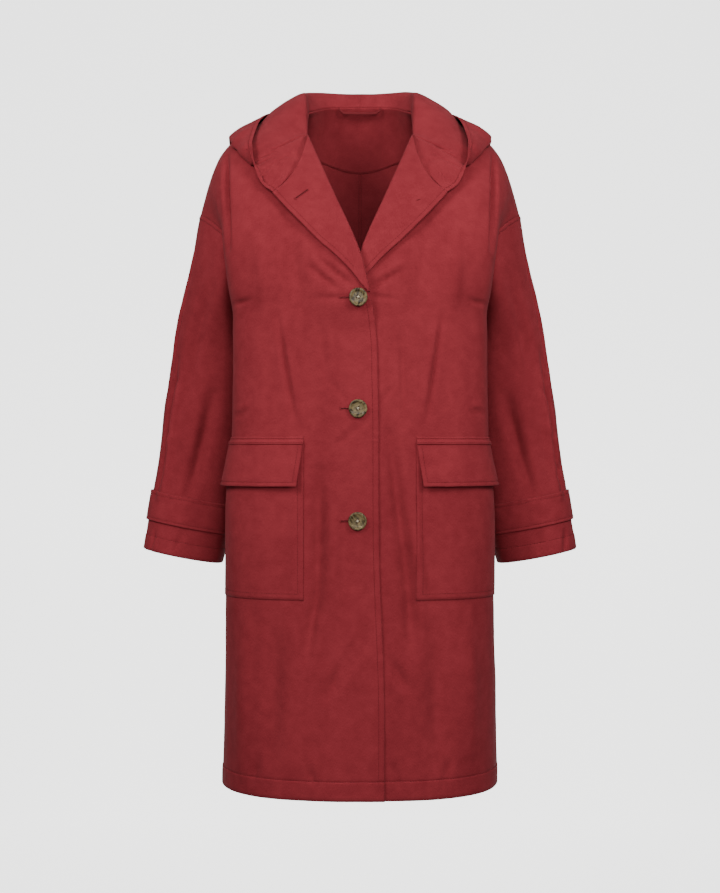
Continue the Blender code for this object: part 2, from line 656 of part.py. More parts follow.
def pocket_pieces(front, side, name):
    step = WALL + LAYER_GAP
    columns = np.arange(EDGE_COLUMNS, FRONT_COLUMNS + 1)
    band_top, flap_top = row_of(BAND_TOP_Z), row_of(FLAP_TOP_Z)
    flap_bottom, pocket_bottom = row_of(FLAP_BOTTOM_Z), row_of(POCKET_BOTTOM_Z)

    rows = np.arange(flap_top, pocket_bottom + 1)[:, None]
    pocket = laid_on(front, rows, columns[None], step)
    pocket[0] += unit(pocket[1] - pocket[0]) * SEAM_GAP / 2
    sheet = Sheet(side)
    sheet.join(sheet.add(pocket))
    sheet.build(f"pocket_{name}", TRIM_WALL, CLOTH_RED)

    rows = np.array((band_top, flap_top))[:, None]
    band = laid_on(front, rows, columns[None], step)
    band[1] += unit(band[0] - band[1]) * SEAM_GAP / 2
    sheet = Sheet(side)
    sheet.join(sheet.add(band))
    sheet.build(f"pocket_band_{name}", TRIM_WALL, CLOTH_RED)

    rows = np.arange(flap_top, flap_bottom + 1)[:, None]
    fall = (rows - flap_top) / (flap_bottom - flap_top)
    slanted = columns[None] + FLAP_SLANT * fall * (columns[None] == EDGE_COLUMNS)
    lift = 2 * step + FLAP_FLARE * fall[..., None] ** FLAP_FLARE_POWER
    flap = laid_on(front, np.broadcast_to(rows, slanted.shape), slanted, lift)
    sheet = Sheet(side)
    sheet.join(sheet.add(flap))
    sheet.build(f"pocket_flap_{name}", TRIM_WALL, CLOTH_RED)


def cuff_strap(rings, side, name):
    """A band round the sleeve, made from the sleeve's points, standing off most outside."""
    top = SLEEVE_CAP_ROWS + SLEEVE_LEVELS.index(STRAP_TOP_Z)
    band = rings[top : top + 2]
    around = np.roll(band, -1, axis=1) - np.roll(band, 1, axis=1)
    outward = unit(np.cross(band[1] - band[0], around))
    outer_side = 0.5 + 0.5 * np.cos(fractions(band.shape[1])[:-1] * 2 * math.pi)
    lift = WALL + LAYER_GAP + STRAP_STAND_OFF * outer_side
    band = band + outward * lift[:, None]
    sheet = Sheet(side)
    sheet.join(sheet.add(band)[:, ::-1], closed=True)
    sheet.build(f"cuff_strap_{name}", TRIM_WALL, CLOTH_RED)


def back_neck_facing(back):
    """One piece inside the neck, from shoulder seam to shoulder seam."""
    rows = np.arange(FACING_ROWS + 1)[:, None]
    columns = np.arange(FACING_COLUMNS + 1)[None]
    inward = -((WALL + FACING_WALL) / 2 + LAYER_GAP)
    outward = front_normals(back[:, ::-1])[:, ::-1]
    half = sampled(back, rows, columns) + sampled(outward, rows, columns) * inward
    half[:, 0, 0] = 0.0
    half[0] += unit(half[1] - half[0]) * FACING_PULL
    half[:, -1] += unit(half[:, -2] - half[:, -1]) * FACING_PULL
    whole = np.concatenate((mirrored(half[:, :0:-1], -1), half), axis=1)
    sheet = Sheet(1)
    index = sheet.add(whole)
    sheet.join(index[:, FACING_COLUMNS:][:, ::-1])
    sheet.join(index[:, FACING_COLUMNS::-1][:, ::-1], turned=True)
    sheet.build("back_neck_facing", FACING_WALL, CLOTH_RED)


def hanger_loop():
    path = np.array(LOOP_PATH)
    path = np.concatenate((mirrored(path, -1), path[-2::-1]))
    below = path - (0.0, 0.0, LOOP_WIDTH)
    sheet = Sheet(1)
    sheet.join(sheet.add(np.stack((path, below))))
    sheet.build("hanger_loop", TRIM_WALL, LOOP_RED)


def button(number, place, front):
    """A turned four-hole button lying on the upper front."""
    turn = np.linspace(0.0, 2 * math.pi, BUTTON_SIDES, endpoint=False)
    x, z = place
    panel = tree((front,))
    radius = max(BUTTON_PROFILE)[0]
    beneath = [on_front(panel, x + radius * math.cos(a), z + radius * math.sin(a), 0.0) for a in turn]
    seat = (x, min(point[1] for point in beneath) - WALL / 2 - BUTTON_SHANK, z)
    points = [(0.0, 0.0, BUTTON_PROFILE[0][1])]
    for radius, height in BUTTON_PROFILE[1:-1]:
        points += [(radius * math.cos(a), radius * math.sin(a), height) for a in turn]
    points.append((0.0, 0.0, BUTTON_PROFILE[-1][1]))
    rings = 1 + np.arange((len(BUTTON_PROFILE) - 2) * BUTTON_SIDES).reshape(-1, BUTTON_SIDES)
    after = np.roll(rings, -1, axis=1)
    faces = [(0, b, a) for a, b in zip(rings[0], after[0])]
    for ring in range(len(rings) - 1):
        quads = zip(rings[ring], after[ring], after[ring + 1], rings[ring + 1])
        faces += [tuple(quad) for quad in quads]
    faces += [(a, b, len(points) - 1) for a, b in zip(rings[-1], after[-1])]
    mesh = bpy.data.meshes.new(f"button_{number}")
    mesh.from_pydata(points, [], [tuple(int(i) for i in face) for face in faces])
    mesh.shade_smooth()
    mesh.materials.append(cloth_material(f"horn_{number}", HORN))
    piece = bpy.data.objects.new(f"button_{number}", mesh)
    bpy.context.scene.collection.objects.link(piece)
    piece.location = (-seat[0], seat[1], seat[2])
    piece.rotation_euler = (math.pi / 2, 0.0, 0.0)
    for hole in range(4):
        angle = math.pi / 4 + hole * math.pi / 2
        drill(piece, hole, BUTTON_HOLE_OFFSET * math.cos(angle), BUTTON_HOLE_OFFSET * math.sin(angle))


def drill(piece, number, x, y):
    """Cut one upright hole through a button with a small prism."""
    name = f"{piece.name}_drill_{number}"
    turn = np.linspace(0.0, 2 * math.pi, BUTTON_HOLE_SIDES, endpoint=False)
    ring = [(x + BUTTON_HOLE_RADIUS * math.cos(a), y + BUTTON_HOLE_RADIUS * math.sin(a)) for a in turn]
    points = [(*p, z) for z in DRILL_SPAN for p in ring]
    n = BUTTON_HOLE_SIDES
    faces = [tuple(range(n))[::-1], tuple(range(n, 2 * n))]
    faces += [(i, (i + 1) % n, n + (i + 1) % n, n + i) for i in range(n)]
    mesh = bpy.data.meshes.new(name)
    mesh.from_pydata(points, [], faces)
    cutter = bpy.data.objects.new(name, mesh)
    bpy.context.scene.collection.objects.link(cutter)
    cutter.parent = piece
    cutter.hide_render = True
    cutter.display_type = "WIRE"
    cut = piece.modifiers.new("hole", "BOOLEAN")
    cut.object = cutter
    cut.operation = "DIFFERENCE"


def remove_all():
    for item in list(bpy.data.objects):
        bpy.data.objects.remove(item, do_unlink=True)


def build_side(name, side):
    """Every piece of one half; the wearer's right half has the upper front."""
    front = front_grid(upper=side < 0)
    back = back_grid()
    body = tree((front, back))
    rings = sleeve_grid(front, back)

    front_top = into(front[0], front[1])
    back_top = into(back[0, NECK_COLUMNS:], back[1, NECK_COLUMNS:])
    shoulder = seam_pull(front_top, back_top)
    ahead, behind = side_directions(front), side_directions(back)
    side_seam = seam_pull(ahead[UPPER_ROWS:], behind[UPPER_ROWS:]) * SIDE_SEAM_EASE
    side_seam[0] *= UNDERARM_EASE
    sleeve = into(rings[0], rings[1], closed=True)
    armhole_ahead = seam_pull(ahead[:UPPER_ROWS], sleeve[:UPPER_ROWS])
    armhole_behind = seam_pull(behind[:UPPER_ROWS], sleeve[-np.arange(UPPER_ROWS)])
    armhole = np.concatenate((armhole_ahead, side_seam[:1], armhole_behind[:0:-1]))

    panel = front.copy()
    panel[:, -1] += ahead * np.concatenate((armhole_ahead, side_seam))
    panel[0] += front_top * shoulder
    turn, strip = lapel_grid(panel, body)
    sheet = Sheet(side)
    index = sheet.add(panel)
    sheet.join(index)
    turned = np.concatenate((turn[:, None], strip), axis=1)[:, ::-1]
    shared = index[NECK_ROWS : LAST_LAPEL_ROW + 1, :1]
    sheet.join(np.concatenate((sheet.add(turned), shared), axis=1))
    sheet.build(f"front_panel_{name}", WALL, CLOTH_RED)

    sheet = Sheet(side)
    facing = facing_grid(panel, turn, strip)
    sheet.join(sheet.add(facing)[:, ::-1])
    sheet.build(f"front_facing_{name}", FACING_WALL, CLOTH_RED)

    sheet = Sheet(side)
    back_panel = off_centre(back[:, ::-1])[:, ::-1]
    back_panel[:, -1] += behind * np.concatenate((armhole_behind, side_seam))
    back_panel[0, NECK_COLUMNS:] += back_top * shoulder
    sheet.join(sheet.add(back_panel)[:, ::-1])
    sheet.build(f"back_panel_{name}", WALL, CLOTH_RED)

    sheet = Sheet(side)
    rings[0] += sleeve * armhole
    sheet.join(sheet.add(rings)[:, ::-1], closed=True)
    sheet.build(f"sleeve_{name}", WALL, CLOTH_RED)
    cuff_strap(rings, side, name)

    sheet = Sheet(side)
    hood = hood_grid(neck_chain(front, back, turn, strip, facing))
    sheet.join(sheet.add(off_centre(hood)))
    sheet.build(f"hood_{name}", WALL, CLOTH_RED)

    pocket_pieces(front, side, name)
    return front, back


def main():
    remove_all()
    build_side("left", 1)
    upper_front, back = build_side("right", -1)
    back_neck_facing(back)
    hanger_loop()
    for number, place in enumerate(BUTTON_PLACES, start=1):
        button(number, place, upper_front)


main()
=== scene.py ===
"""Looks of the hooded cotton coat: smooth cloth shells with folds, stitching, buttons and light.

The cloth follows the same tables as the solids, read more finely. Each half is worked out as the
wearer's left one and mirrored where it is the right.
"""

import math
from collections import namedtuple

import bpy
import numpy as np
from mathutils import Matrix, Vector, noise
from mathutils.bvhtree import BVHTree
from mathutils.geometry import tessellate_polygon


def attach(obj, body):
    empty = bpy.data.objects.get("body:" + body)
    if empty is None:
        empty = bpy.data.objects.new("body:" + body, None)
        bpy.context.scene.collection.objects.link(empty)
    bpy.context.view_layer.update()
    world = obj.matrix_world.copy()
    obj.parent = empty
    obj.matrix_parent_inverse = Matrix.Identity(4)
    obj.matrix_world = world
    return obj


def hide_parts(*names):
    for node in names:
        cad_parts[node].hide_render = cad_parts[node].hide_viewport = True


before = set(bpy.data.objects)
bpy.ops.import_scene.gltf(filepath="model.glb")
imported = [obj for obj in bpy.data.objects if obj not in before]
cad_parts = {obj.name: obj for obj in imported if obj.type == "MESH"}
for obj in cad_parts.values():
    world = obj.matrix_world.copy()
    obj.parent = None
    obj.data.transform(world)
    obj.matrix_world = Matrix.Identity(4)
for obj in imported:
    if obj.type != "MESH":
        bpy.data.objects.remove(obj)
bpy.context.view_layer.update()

# Cloth walls, the gap between layers, and how far a facing's end is pulled back from its seam
WALL = 0.0015
FACING_WALL = 0.0012
TRIM_WALL = 0.0014
LAYER_GAP = 0.0001
FACING_PULL = 0.0002

# Body, one row for each level cut: how far it reaches and how far the arm presses its side in
Section = namedtuple("Section", "z half_width widest_y front back arm_press")
BODY = (
    Section(-0.325, 0.1815, -0.070, 0.151, 0.130, 0.016),
    Section(-0.400, 0.1815, -0.070, 0.153, 0.132, 0.031),
    Section(-0.500, 0.1825, -0.070, 0.155, 0.135, 0.034),
    Section(-0.620, 0.1890, -0.062, 0.156, 0.138, 0.030),
    Section(-0.720, 0.1920, -0.048, 0.157, 0.142, 0.012),
    Section(-0.860, 0.1960, -0.020, 0.159, 0.147, 0.000),
    Section(-1.003, 0.2000, 0.000, 0.160, 0.150, 0.000),
)
BODY_SQUARENESS = 2.6
SIDE_SEAM_Y = 0.030

# Patch pockets, flaps and the stitched bands above them
POCKET_EDGE_X = 0.078
BAND_TOP_Z = -0.503
FLAP_TOP_Z = -0.5115
FLAP_BOTTOM_Z = -0.571
POCKET_BOTTOM_Z = -0.7275
FLAP_FLARE = 0.0085
FLAP_SLANT = 0.22

# Levels of the rows below the underarm, and columns across a front from its edge to the side
LOWER_LEVELS = (
    -0.355, -0.385, -0.420, -0.462, BAND_TOP_Z, FLAP_TOP_Z, -0.540, FLAP_BOTTOM_Z,
    -0.610, -0.650, -0.690, POCKET_BOTTOM_Z, -0.780, -0.840, -0.900, -0.955, -1.003,
)
UPPER_ROWS = 10
EDGE_COLUMNS = 3
FRONT_COLUMNS = 10
NECK_COLUMNS = 5
NECK_DROP = 0.48

# Shoulder line from the side of the neck to the dropped armhole
SHOULDER = (
    (0.076, 0.015, -0.020), (0.110, 0.013, -0.032), (0.150, 0.011, -0.047),
    (0.189, 0.010, -0.066), (0.208, 0.010, -0.090), (0.217, 0.010, -0.112),
    (0.2265, 0.010, -0.140), (0.237, 0.010, -0.179),
)
BACK_NECK = ((0.0, 0.075, 0.0), (0.045, 0.064, -0.003), (0.076, 0.015, -0.020))

# Armhole from the top of the sleeve to the underarm, round the front and round the back
ARMHOLE_SPACING = 1.9
ARMHOLE_FRONT = (
    (0.237, 0.010, -0.179), (0.2325, -0.014, -0.183), (0.211, -0.044, -0.199),
    (0.188, -0.065, -0.224), (0.181, -0.060, -0.260), (0.172, -0.030, -0.294),
)
ARMHOLE_BACK = (
    (0.237, 0.010, -0.179), (0.2325, 0.034, -0.183), (0.213, 0.068, -0.194),
    (0.189, 0.096, -0.222), (0.172, 0.088, -0.268),
)

# Fold between the chest and the sleeve head, on the front above the armhole
ARM_FOLD_X = 0.192
ARM_FOLD_TOP_Z = -0.085
ARM_FOLD_FALL = 0.120
ARM_FOLD_DEPTH = 0.006
ARM_FOLD_HALF_WIDTH = 0.010
ARM_FOLD_END_Z = -0.180
ARM_FOLD_FADE = 0.045

# Front neck, then the roll line of the lapel down to its break
FRONT_NECK = ((0.076, 0.015, -0.020), (0.0770, -0.017, -0.046), (0.077, -0.044, -0.070))
ROLL_LINE = (
    (0.077, -0.044, -0.070), (0.057, -0.086, -0.120), (0.0285, -0.120, -0.187),
    (0.0014, -0.146, -0.2526), (-0.0105, -0.1515, -0.303),
)
NECK_ROWS = 3
LAST_LAPEL_ROW = 9

# Front edge below the break: its place past the centre line at each level
FrontEdge = namedtuple("FrontEdge", "z upper under")
FRONT_EDGE = (
    FrontEdge(-0.325, 0.0170, 0.0175),
    FrontEdge(-0.357, 0.0215, 0.0250),
    FrontEdge(-0.430, 0.0241, 0.0270),
    FrontEdge(-0.672, 0.0262, 0.0270),
    FrontEdge(-0.865, 0.0330, 0.0270),
    FrontEdge(-1.003, 0.0330, 0.0270),
)
LAP_LIFT = 0.0026
LAP_BREAK_LIFT = 0.0110
LAP_FULL_X = 0.030
LAP_EASE_X = 0.085

# Lapel: outer edge, top edge (the neck seam turned out) and how far it stands off the chest
LAPEL_EDGE = (
    (0.1208, -0.1647), (0.0890, -0.1997), (0.0526, -0.2344), (0.0124, -0.2729),
    (0.0020, -0.2870), (-0.0075, -0.2990),
)
LAPEL_TOP = ((0.0770, -0.0700), (0.0853, -0.1113), (0.1013, -0.1440), (0.1208, -0.1647))
LAPEL_COLUMNS = 4
ROLL_LIFT = 0.0032
LAPEL_TOP_LIFT = 0.010
FACING_RETURN = 0.012

# Sleeve, one row for each cut: its centre's height, the sides' places, depth and tilt
Cut = namedtuple("Cut", "z outer inner centre_y half_depth tilt")
SLEEVE = (
    Cut(-0.385, 0.2775, 0.1660, 0.032, 0.052, 8.0),
    Cut(-0.460, 0.2905, 0.1680, 0.034, 0.053, 9.0),
    Cut(-0.540, 0.2998, 0.1760, 0.034, 0.052, 10.0),
    Cut(-0.600, 0.3090, 0.1870, 0.031, 0.051, 11.0),
    Cut(-0.677, 0.3218, 0.2059, 0.026, 0.050, 11.0),
)
SLEEVE_CAP_ROWS = 5
SLEEVE_SPRING = 0.090
STRAP_TOP_Z = -0.593
STRAP_BOTTOM_Z = -0.635
SLEEVE_LEVELS = (-0.385, -0.425, -0.465, -0.508, -0.552, STRAP_TOP_Z, STRAP_BOTTOM_Z, -0.677)

STRAP_STAND_OFF = 0.0012

# Hood, one row for each section from the lapel round to the centre back. "at" counts points
# along the neck seam; the cloth runs from that seam over the crest, down a slope and into a dip
# to the pouch's fold, then up its outer wall to the rim of the face opening.
HoodSection = namedtuple("HoodSection", "at crest slope dip fold outer rim")
HOOD = (
    HoodSection(1, (0.1040, -0.1105, -0.1385), (0.1120, -0.1115, -0.1405),
                (0.1210, -0.1125, -0.1430), (0.1285, -0.1130, -0.1450),
                (0.1330, -0.1135, -0.1462), (0.1375, -0.1135, -0.1470)),
    HoodSection(2, (0.0970, -0.0980, -0.1180), (0.1120, -0.1000, -0.1205),
                (0.1260, -0.1005, -0.1230), (0.1380, -0.1010, -0.1255),
                (0.1435, -0.1030, -0.1265), (0.1475, -0.1040, -0.1265)),
    HoodSection(4, (0.0860, -0.0640, -0.0755), (0.1150, -0.0830, -0.0960),
                (0.1380, -0.0865, -0.1070), (0.1545, -0.0865, -0.1160),
                (0.1555, -0.0935, -0.1080), (0.1535, -0.0960, -0.0985)),
    HoodSection(6, (0.0815, -0.0400, -0.0580), (0.1180, -0.0700, -0.0800),
                (0.1430, -0.0770, -0.0950), (0.1625, -0.0780, -0.1080),
                (0.1615, -0.0865, -0.0980), (0.1543, -0.0880, -0.0880)),
    HoodSection(7, (0.0825, -0.0230, -0.0320), (0.1220, -0.0510, -0.0610),
                (0.1480, -0.0640, -0.0810), (0.1730, -0.0680, -0.0960),
                (0.1670, -0.0770, -0.0860), (0.1543, -0.0740, -0.0760)),
    HoodSection(8, (0.0830, -0.0050, -0.0080), (0.1280, -0.0180, -0.0340),
                (0.1500, -0.0260, -0.0550), (0.1870, -0.0270, -0.0722),
                (0.1730, -0.0360, -0.0600), (0.1505, -0.0380, -0.0510)),
    HoodSection(9, (0.0830, 0.0200, 0.0100), (0.1290, 0.0180, -0.0155),
                (0.1520, 0.0120, -0.0422), (0.1929, 0.0120, -0.0585),
                (0.1750, 0.0050, -0.0430), (0.1456, -0.0080, -0.0335)),
    HoodSection(10, (0.0800, 0.0450, 0.0165), (0.1180, 0.0480, -0.0070),
                (0.1480, 0.0480, -0.0440), (0.1910, 0.0480, -0.0770),
                (0.1790, 0.0540, -0.0420), (0.1350, 0.0280, -0.0190)),
    HoodSection(11, (0.0640, 0.0680, 0.0215), (0.0940, 0.0810, -0.0010),
                (0.1300, 0.0920, -0.0620), (0.1750, 0.0930, -0.1240),
                (0.1720, 0.1150, -0.0560), (0.1150, 0.0820, -0.0060)),
    HoodSection(12.3, (0.0400, 0.0830, 0.0235), (0.0540, 0.1100, -0.0040),
                (0.0850, 0.1220, -0.0900), (0.1150, 0.1430, -0.1950),
                (0.1200, 0.1680, -0.1000), (0.0750, 0.1380, -0.0060)),
    HoodSection(14, (0.0000, 0.0870, 0.0233), (0.0000, 0.1160, -0.0060),
                (0.0000, 0.1330, -0.1000), (0.0000, 0.1600, -0.2350),
                (0.0000, 0.1920, -0.1200), (0.0000, 0.1600, -0.0100)),
)
HOOD_STEPS = 2
HOOD_SEAM_RISE = 0.0009
HOOD_ON_LAPEL = (0.0, 0.12, 0.34, 0.56, 0.78, 1.0)

# Facings: how far they stop short of the neck seam, and how much of the back one covers
FACING_ROWS = 4
FACING_COLUMNS = 8

# Hanger loop: half of its path below the back neck seam, and its width
LOOP_PATH = ((0.0320, 0.0645, -0.0025), (0.0245, 0.0660, -0.0085), (0.0, 0.0670, -0.0090))
LOOP_WIDTH = 0.0034

# Buttons: places on the upper front, and the turned profile from the back's middle to the face's
BUTTON_PLACES = ((0.0024, -0.3110), (0.0028, -0.4637), (0.0034, -0.6185))
BUTTON_HOLE_RADIUS = 0.0011
BUTTON_HOLE_OFFSET = 0.0022
BUTTON_SHANK = 0.0012

# ---- fine cloth

# Fine steps to each step of the solids' grids, down the rows and across the columns
PANEL_STEPS = (9, 11)
BACK_STEPS = (8, 6)
SLEEVE_STEPS = (9, 8)
LAPEL_STEPS = (8, 8)
HOOD_FINE_STEPS = (6, 7)
ROLL_STEPS = 8
WRAP = 2

# Closer places about a line of stitches, and how far the even ones keep off it
CLOSE_PLACES = (-0.0030, -0.0014, -0.0007, 0.0, 0.0007, 0.0014, 0.0030)
KEEP_OFF = 0.0040

# Seams: where folds die out, how far cloth may rise under the lapel, and how round an edge is
SEAM_FADE = 0.022
COVER_EASE = 0.012
UNDER_LAPEL = 0.0005
EDGE_ROUND = 0.8
HEM_STEP = 0.0012
FACING_WRAP = ((0.0007, 0.0002), (0.0011, 0.0010), (0.0009, 0.0019), (0.0003, 0.0024))
TRIM_WAVES = 0.3

FRONT_SEEDS = {"left": 1.0, "right": 2.0}
BACK_SEEDS = {"left": 3.0, "right": 4.0}
SLEEVE_SEEDS = {"left": 5.0, "right": 6.0}
HOOD_SEEDS = {"left": 7.0, "right": 8.0}
TRIM_SEEDS = {"left": 9.0, "right": 10.0}

# Stitches: places along one, how high it rides there in thread radii, and its share of full width
STITCH_PLACES = (0.0, 0.12, 0.5, 0.88, 1.0)
STITCH_RISES = (-0.9, 0.2, 0.6, 0.2, -0.9)
STITCH_SWELLS = (0.5, 0.9, 1.0, 0.9, 0.5)
THREAD_SIDES = 5

# Folds. "depth" is a trough's, and a ridge's is negative; places are in the surface's own metres.
Fold = namedtuple("Fold", "x z x_end z_end width depth")

# Fronts: x from the centre line towards the side
FRONT_FOLDS = {
    "left": (
        Fold(0.0523, -0.2743, 0.0100, -0.3000, 0.0052, 0.0026),
        Fold(0.0640, -0.2600, 0.0300, -0.2820, 0.0060, -0.0016),
        Fold(0.0480, -0.3120, 0.0150, -0.3080, 0.0050, 0.0010),
        Fold(0.1150, -0.3300, 0.0930, -0.4780, 0.0042, 0.0019),
        Fold(0.1040, -0.3500, 0.0830, -0.4780, 0.0062, -0.0014),
        Fold(0.0578, -0.3500, 0.0614, -0.4900, 0.0070, 0.0017),
        Fold(0.0413, -0.5000, 0.0640, -0.7000, 0.0115, 0.0040),
        Fold(0.0640, -0.6600, 0.0720, -0.8000, 0.0120, 0.0036),
        Fold(0.0720, -0.6000, 0.0860, -0.7600, 0.0100, -0.0022),
        Fold(0.0923, -0.2000, 0.0867, -0.3150, 0.0180, 0.0026),
        Fold(0.1350, -0.2200, 0.1280, -0.3300, 0.0150, -0.0022),
        Fold(0.0413, -0.8100, 0.0680, -0.8560, 0.0090, 0.0022),
        Fold(0.1040, -0.7700, 0.1100, -0.9500, 0.0200, 0.0034),
        Fold(0.1500, -0.7600, 0.1560, -0.9400, 0.0170, -0.0028),
        Fold(0.1780, -0.3160, 0.1520, -0.3120, 0.0038, 0.0022),
        Fold(0.1760, -0.4700, 0.1550, -0.4660, 0.0036, 0.0020),
        Fold(0.1740, -0.4600, 0.1580, -0.4560, 0.0034, -0.0012),
        Fold(0.0300, -0.4500, 0.0500, -0.4320, 0.0050, 0.0010),
        Fold(0.0480, -0.9560, 0.0560, -0.9900, 0.0060, 0.0013),
        Fold(0.1240, -0.9500, 0.1180, -0.9800, 0.0070, 0.0013),
        Fold(0.1930, -0.0950, 0.1845, -0.2400, 0.0048, 0.0050),
    ),
    "right": (
        Fold(0.0565, -0.2606, 0.0120, -0.2935, 0.0048, 0.0028),
        Fold(0.0730, -0.2660, 0.0330, -0.2978, 0.0050, 0.0021),
        Fold(0.0680, -0.2540, 0.0280, -0.2860, 0.0042, -0.0014),
        Fold(0.0640, -0.3120, 0.0140, -0.3110, 0.0060, 0.0010),
        Fold(0.1150, -0.3300, 0.0909, -0.4780, 0.0042, 0.0019),
        Fold(0.1040, -0.3500, 0.0820, -0.4780, 0.0062, -0.0014),
        Fold(0.0565, -0.5500, 0.0592, -0.7425, 0.0115, 0.0040),
        Fold(0.0592, -0.7100, 0.0750, -0.8100, 0.0110, 0.0034),
        Fold(0.0340, -0.5700, 0.0360, -0.7400, 0.0120, -0.0020),
        Fold(0.0460, -0.8600, -0.0080, -0.7750, 0.0105, 0.0028),
        Fold(0.1020, -0.2000, 0.0854, -0.3150, 0.0180, 0.0026),
        Fold(0.1380, -0.2200, 0.1300, -0.3300, 0.0150, -0.0022),
        Fold(0.0400, -0.4260, 0.0200, -0.4510, 0.0046, 0.0013),
        Fold(0.0300, -0.5120, -0.0060, -0.4830, 0.0048, 0.0013),
        Fold(0.0540, -0.3500, 0.0480, -0.4300, 0.0090, 0.0014),
        Fold(0.1180, -0.7600, 0.1240, -0.9400, 0.0190, 0.0032),
        Fold(0.1600, -0.7600, 0.1660, -0.9700, 0.0150, -0.0024),
        Fold(0.1780, -0.3160, 0.1520, -0.3120, 0.0038, 0.0022),
        Fold(0.1760, -0.4720, 0.1550, -0.4680, 0.0036, 0.0020),
        Fold(0.1740, -0.4620, 0.1580, -0.4580, 0.0034, -0.0012),
        Fold(0.0700, -0.9600, 0.0600, -0.9860, 0.0060, 0.0013),
        Fold(0.1420, -0.9500, 0.1500, -0.9830, 0.0070, 0.0013),
        Fold(0.1930, -0.0950, 0.1845, -0.2400, 0.0048, 0.0050),
    ),
}
# Backs: soft drag lines from the shoulder blades, then long vertical folds
BACK_FOLDS = {
    "left": (
        Fold(0.0500, -0.2200, 0.0700, -0.4600, 0.0200, 0.0030),
        Fold(0.1100, -0.2600, 0.1050, -0.5200, 0.0190, -0.0030),
        Fold(0.0300, -0.4600, 0.0340, -0.9000, 0.0210, -0.0036),
        Fold(0.0760, -0.5200, 0.0860, -0.9700, 0.0220, 0.0046),
        Fold(0.1280, -0.5400, 0.1400, -0.9500, 0.0200, -0.0034),
        Fold(0.1500, -0.3600, 0.1200, -0.4000, 0.0100, 0.0018),
        Fold(0.1460, -0.4300, 0.1120, -0.4560, 0.0110, 0.0015),
    ),
    "right": (
        Fold(0.0620, -0.2000, 0.0560, -0.4200, 0.0190, 0.0028),
        Fold(0.1040, -0.2900, 0.1120, -0.5000, 0.0180, -0.0026),
        Fold(0.0380, -0.5000, 0.0300, -0.9400, 0.0200, -0.0032),
        Fold(0.0840, -0.4900, 0.0780, -0.9300, 0.0210, 0.0042),
        Fold(0.1340, -0.5600, 0.1300, -0.9700, 0.0190, -0.0036),
        Fold(0.1480, -0.3500, 0.1160, -0.3740, 0.0090, 0.0016),
        Fold(0.1440, -0.4200, 0.1080, -0.4640, 0.0110, 0.0017),
    ),
}
# Sleeves: x runs round the sleeve from its outer side, forward first, as a share of the way round
SLEEVE_GIRTH = 0.36
SLEEVE_FOLDS = {
    "left": (
        Fold(0.145, -0.215, 0.180, -0.420, 0.0055, 0.0018),
        Fold(0.115, -0.230, 0.150, -0.440, 0.0070, -0.0014),
        Fold(0.208, -0.380, 0.187, -0.590, 0.0085, 0.0036),
        Fold(0.250, -0.400, 0.235, -0.590, 0.0080, -0.0026),
        Fold(0.373, -0.440, 0.331, -0.590, 0.0085, 0.0040),
        Fold(0.290, -0.270, 0.300, -0.440, 0.0110, 0.0022),
        Fold(0.260, -0.430, 0.160, -0.456, 0.0080, 0.0016),
        Fold(0.280, -0.480, 0.140, -0.516, 0.0080, -0.0014),
        Fold(0.100, -0.530, 0.220, -0.560, 0.0080, 0.0014),
        Fold(0.620, -0.260, 0.660, -0.560, 0.0140, 0.0034),
        Fold(0.740, -0.250, 0.720, -0.500, 0.0150, -0.0030),
        Fold(0.860, -0.300, 0.840, -0.570, 0.0130, 0.0028),
        Fold(0.700, -0.420, 0.820, -0.450, 0.0100, 0.0020),
        Fold(0.120, -0.638, 0.100, -0.668, 0.0055, 0.0012),
        Fold(0.230, -0.640, 0.260, -0.672, 0.0055, 0.0018),
        Fold(0.330, -0.640, 0.350, -0.668, 0.0050, 0.0013),
        Fold(0.700, -0.640, 0.690, -0.672, 0.0070, 0.0012),
    ),
    "right": (
        Fold(0.145, -0.215, 0.180, -0.420, 0.0055, 0.0018),
        Fold(0.115, -0.230, 0.155, -0.450, 0.0070, -0.0014),
        Fold(0.210, -0.390, 0.190, -0.590, 0.0085, 0.0038),
        Fold(0.252, -0.410, 0.238, -0.590, 0.0080, -0.0026),
        Fold(0.370, -0.440, 0.333, -0.590, 0.0085, 0.0040),
        Fold(0.300, -0.280, 0.290, -0.450, 0.0110, 0.0022),
        Fold(0.250, -0.410, 0.150, -0.440, 0.0080, 0.0016),
        Fold(0.270, -0.500, 0.150, -0.530, 0.0080, -0.0014),
        Fold(0.100, -0.500, 0.200, -0.540, 0.0080, 0.0014),
        Fold(0.630, -0.270, 0.670, -0.550, 0.0140, 0.0032),
        Fold(0.750, -0.260, 0.730, -0.520, 0.0150, -0.0032),
        Fold(0.870, -0.310, 0.850, -0.560, 0.0130, 0.0026),
        Fold(0.690, -0.400, 0.830, -0.440, 0.0100, 0.0018),
        Fold(0.140, -0.640, 0.150, -0.672, 0.0055, 0.0013),
        Fold(0.240, -0.640, 0.220, -0.672, 0.0055, 0.0018),
        Fold(0.340, -0.640, 0.330, -0.668, 0.0050, 0.0013),
        Fold(0.680, -0.640, 0.700, -0.674, 0.0070, 0.0012),
    ),
}
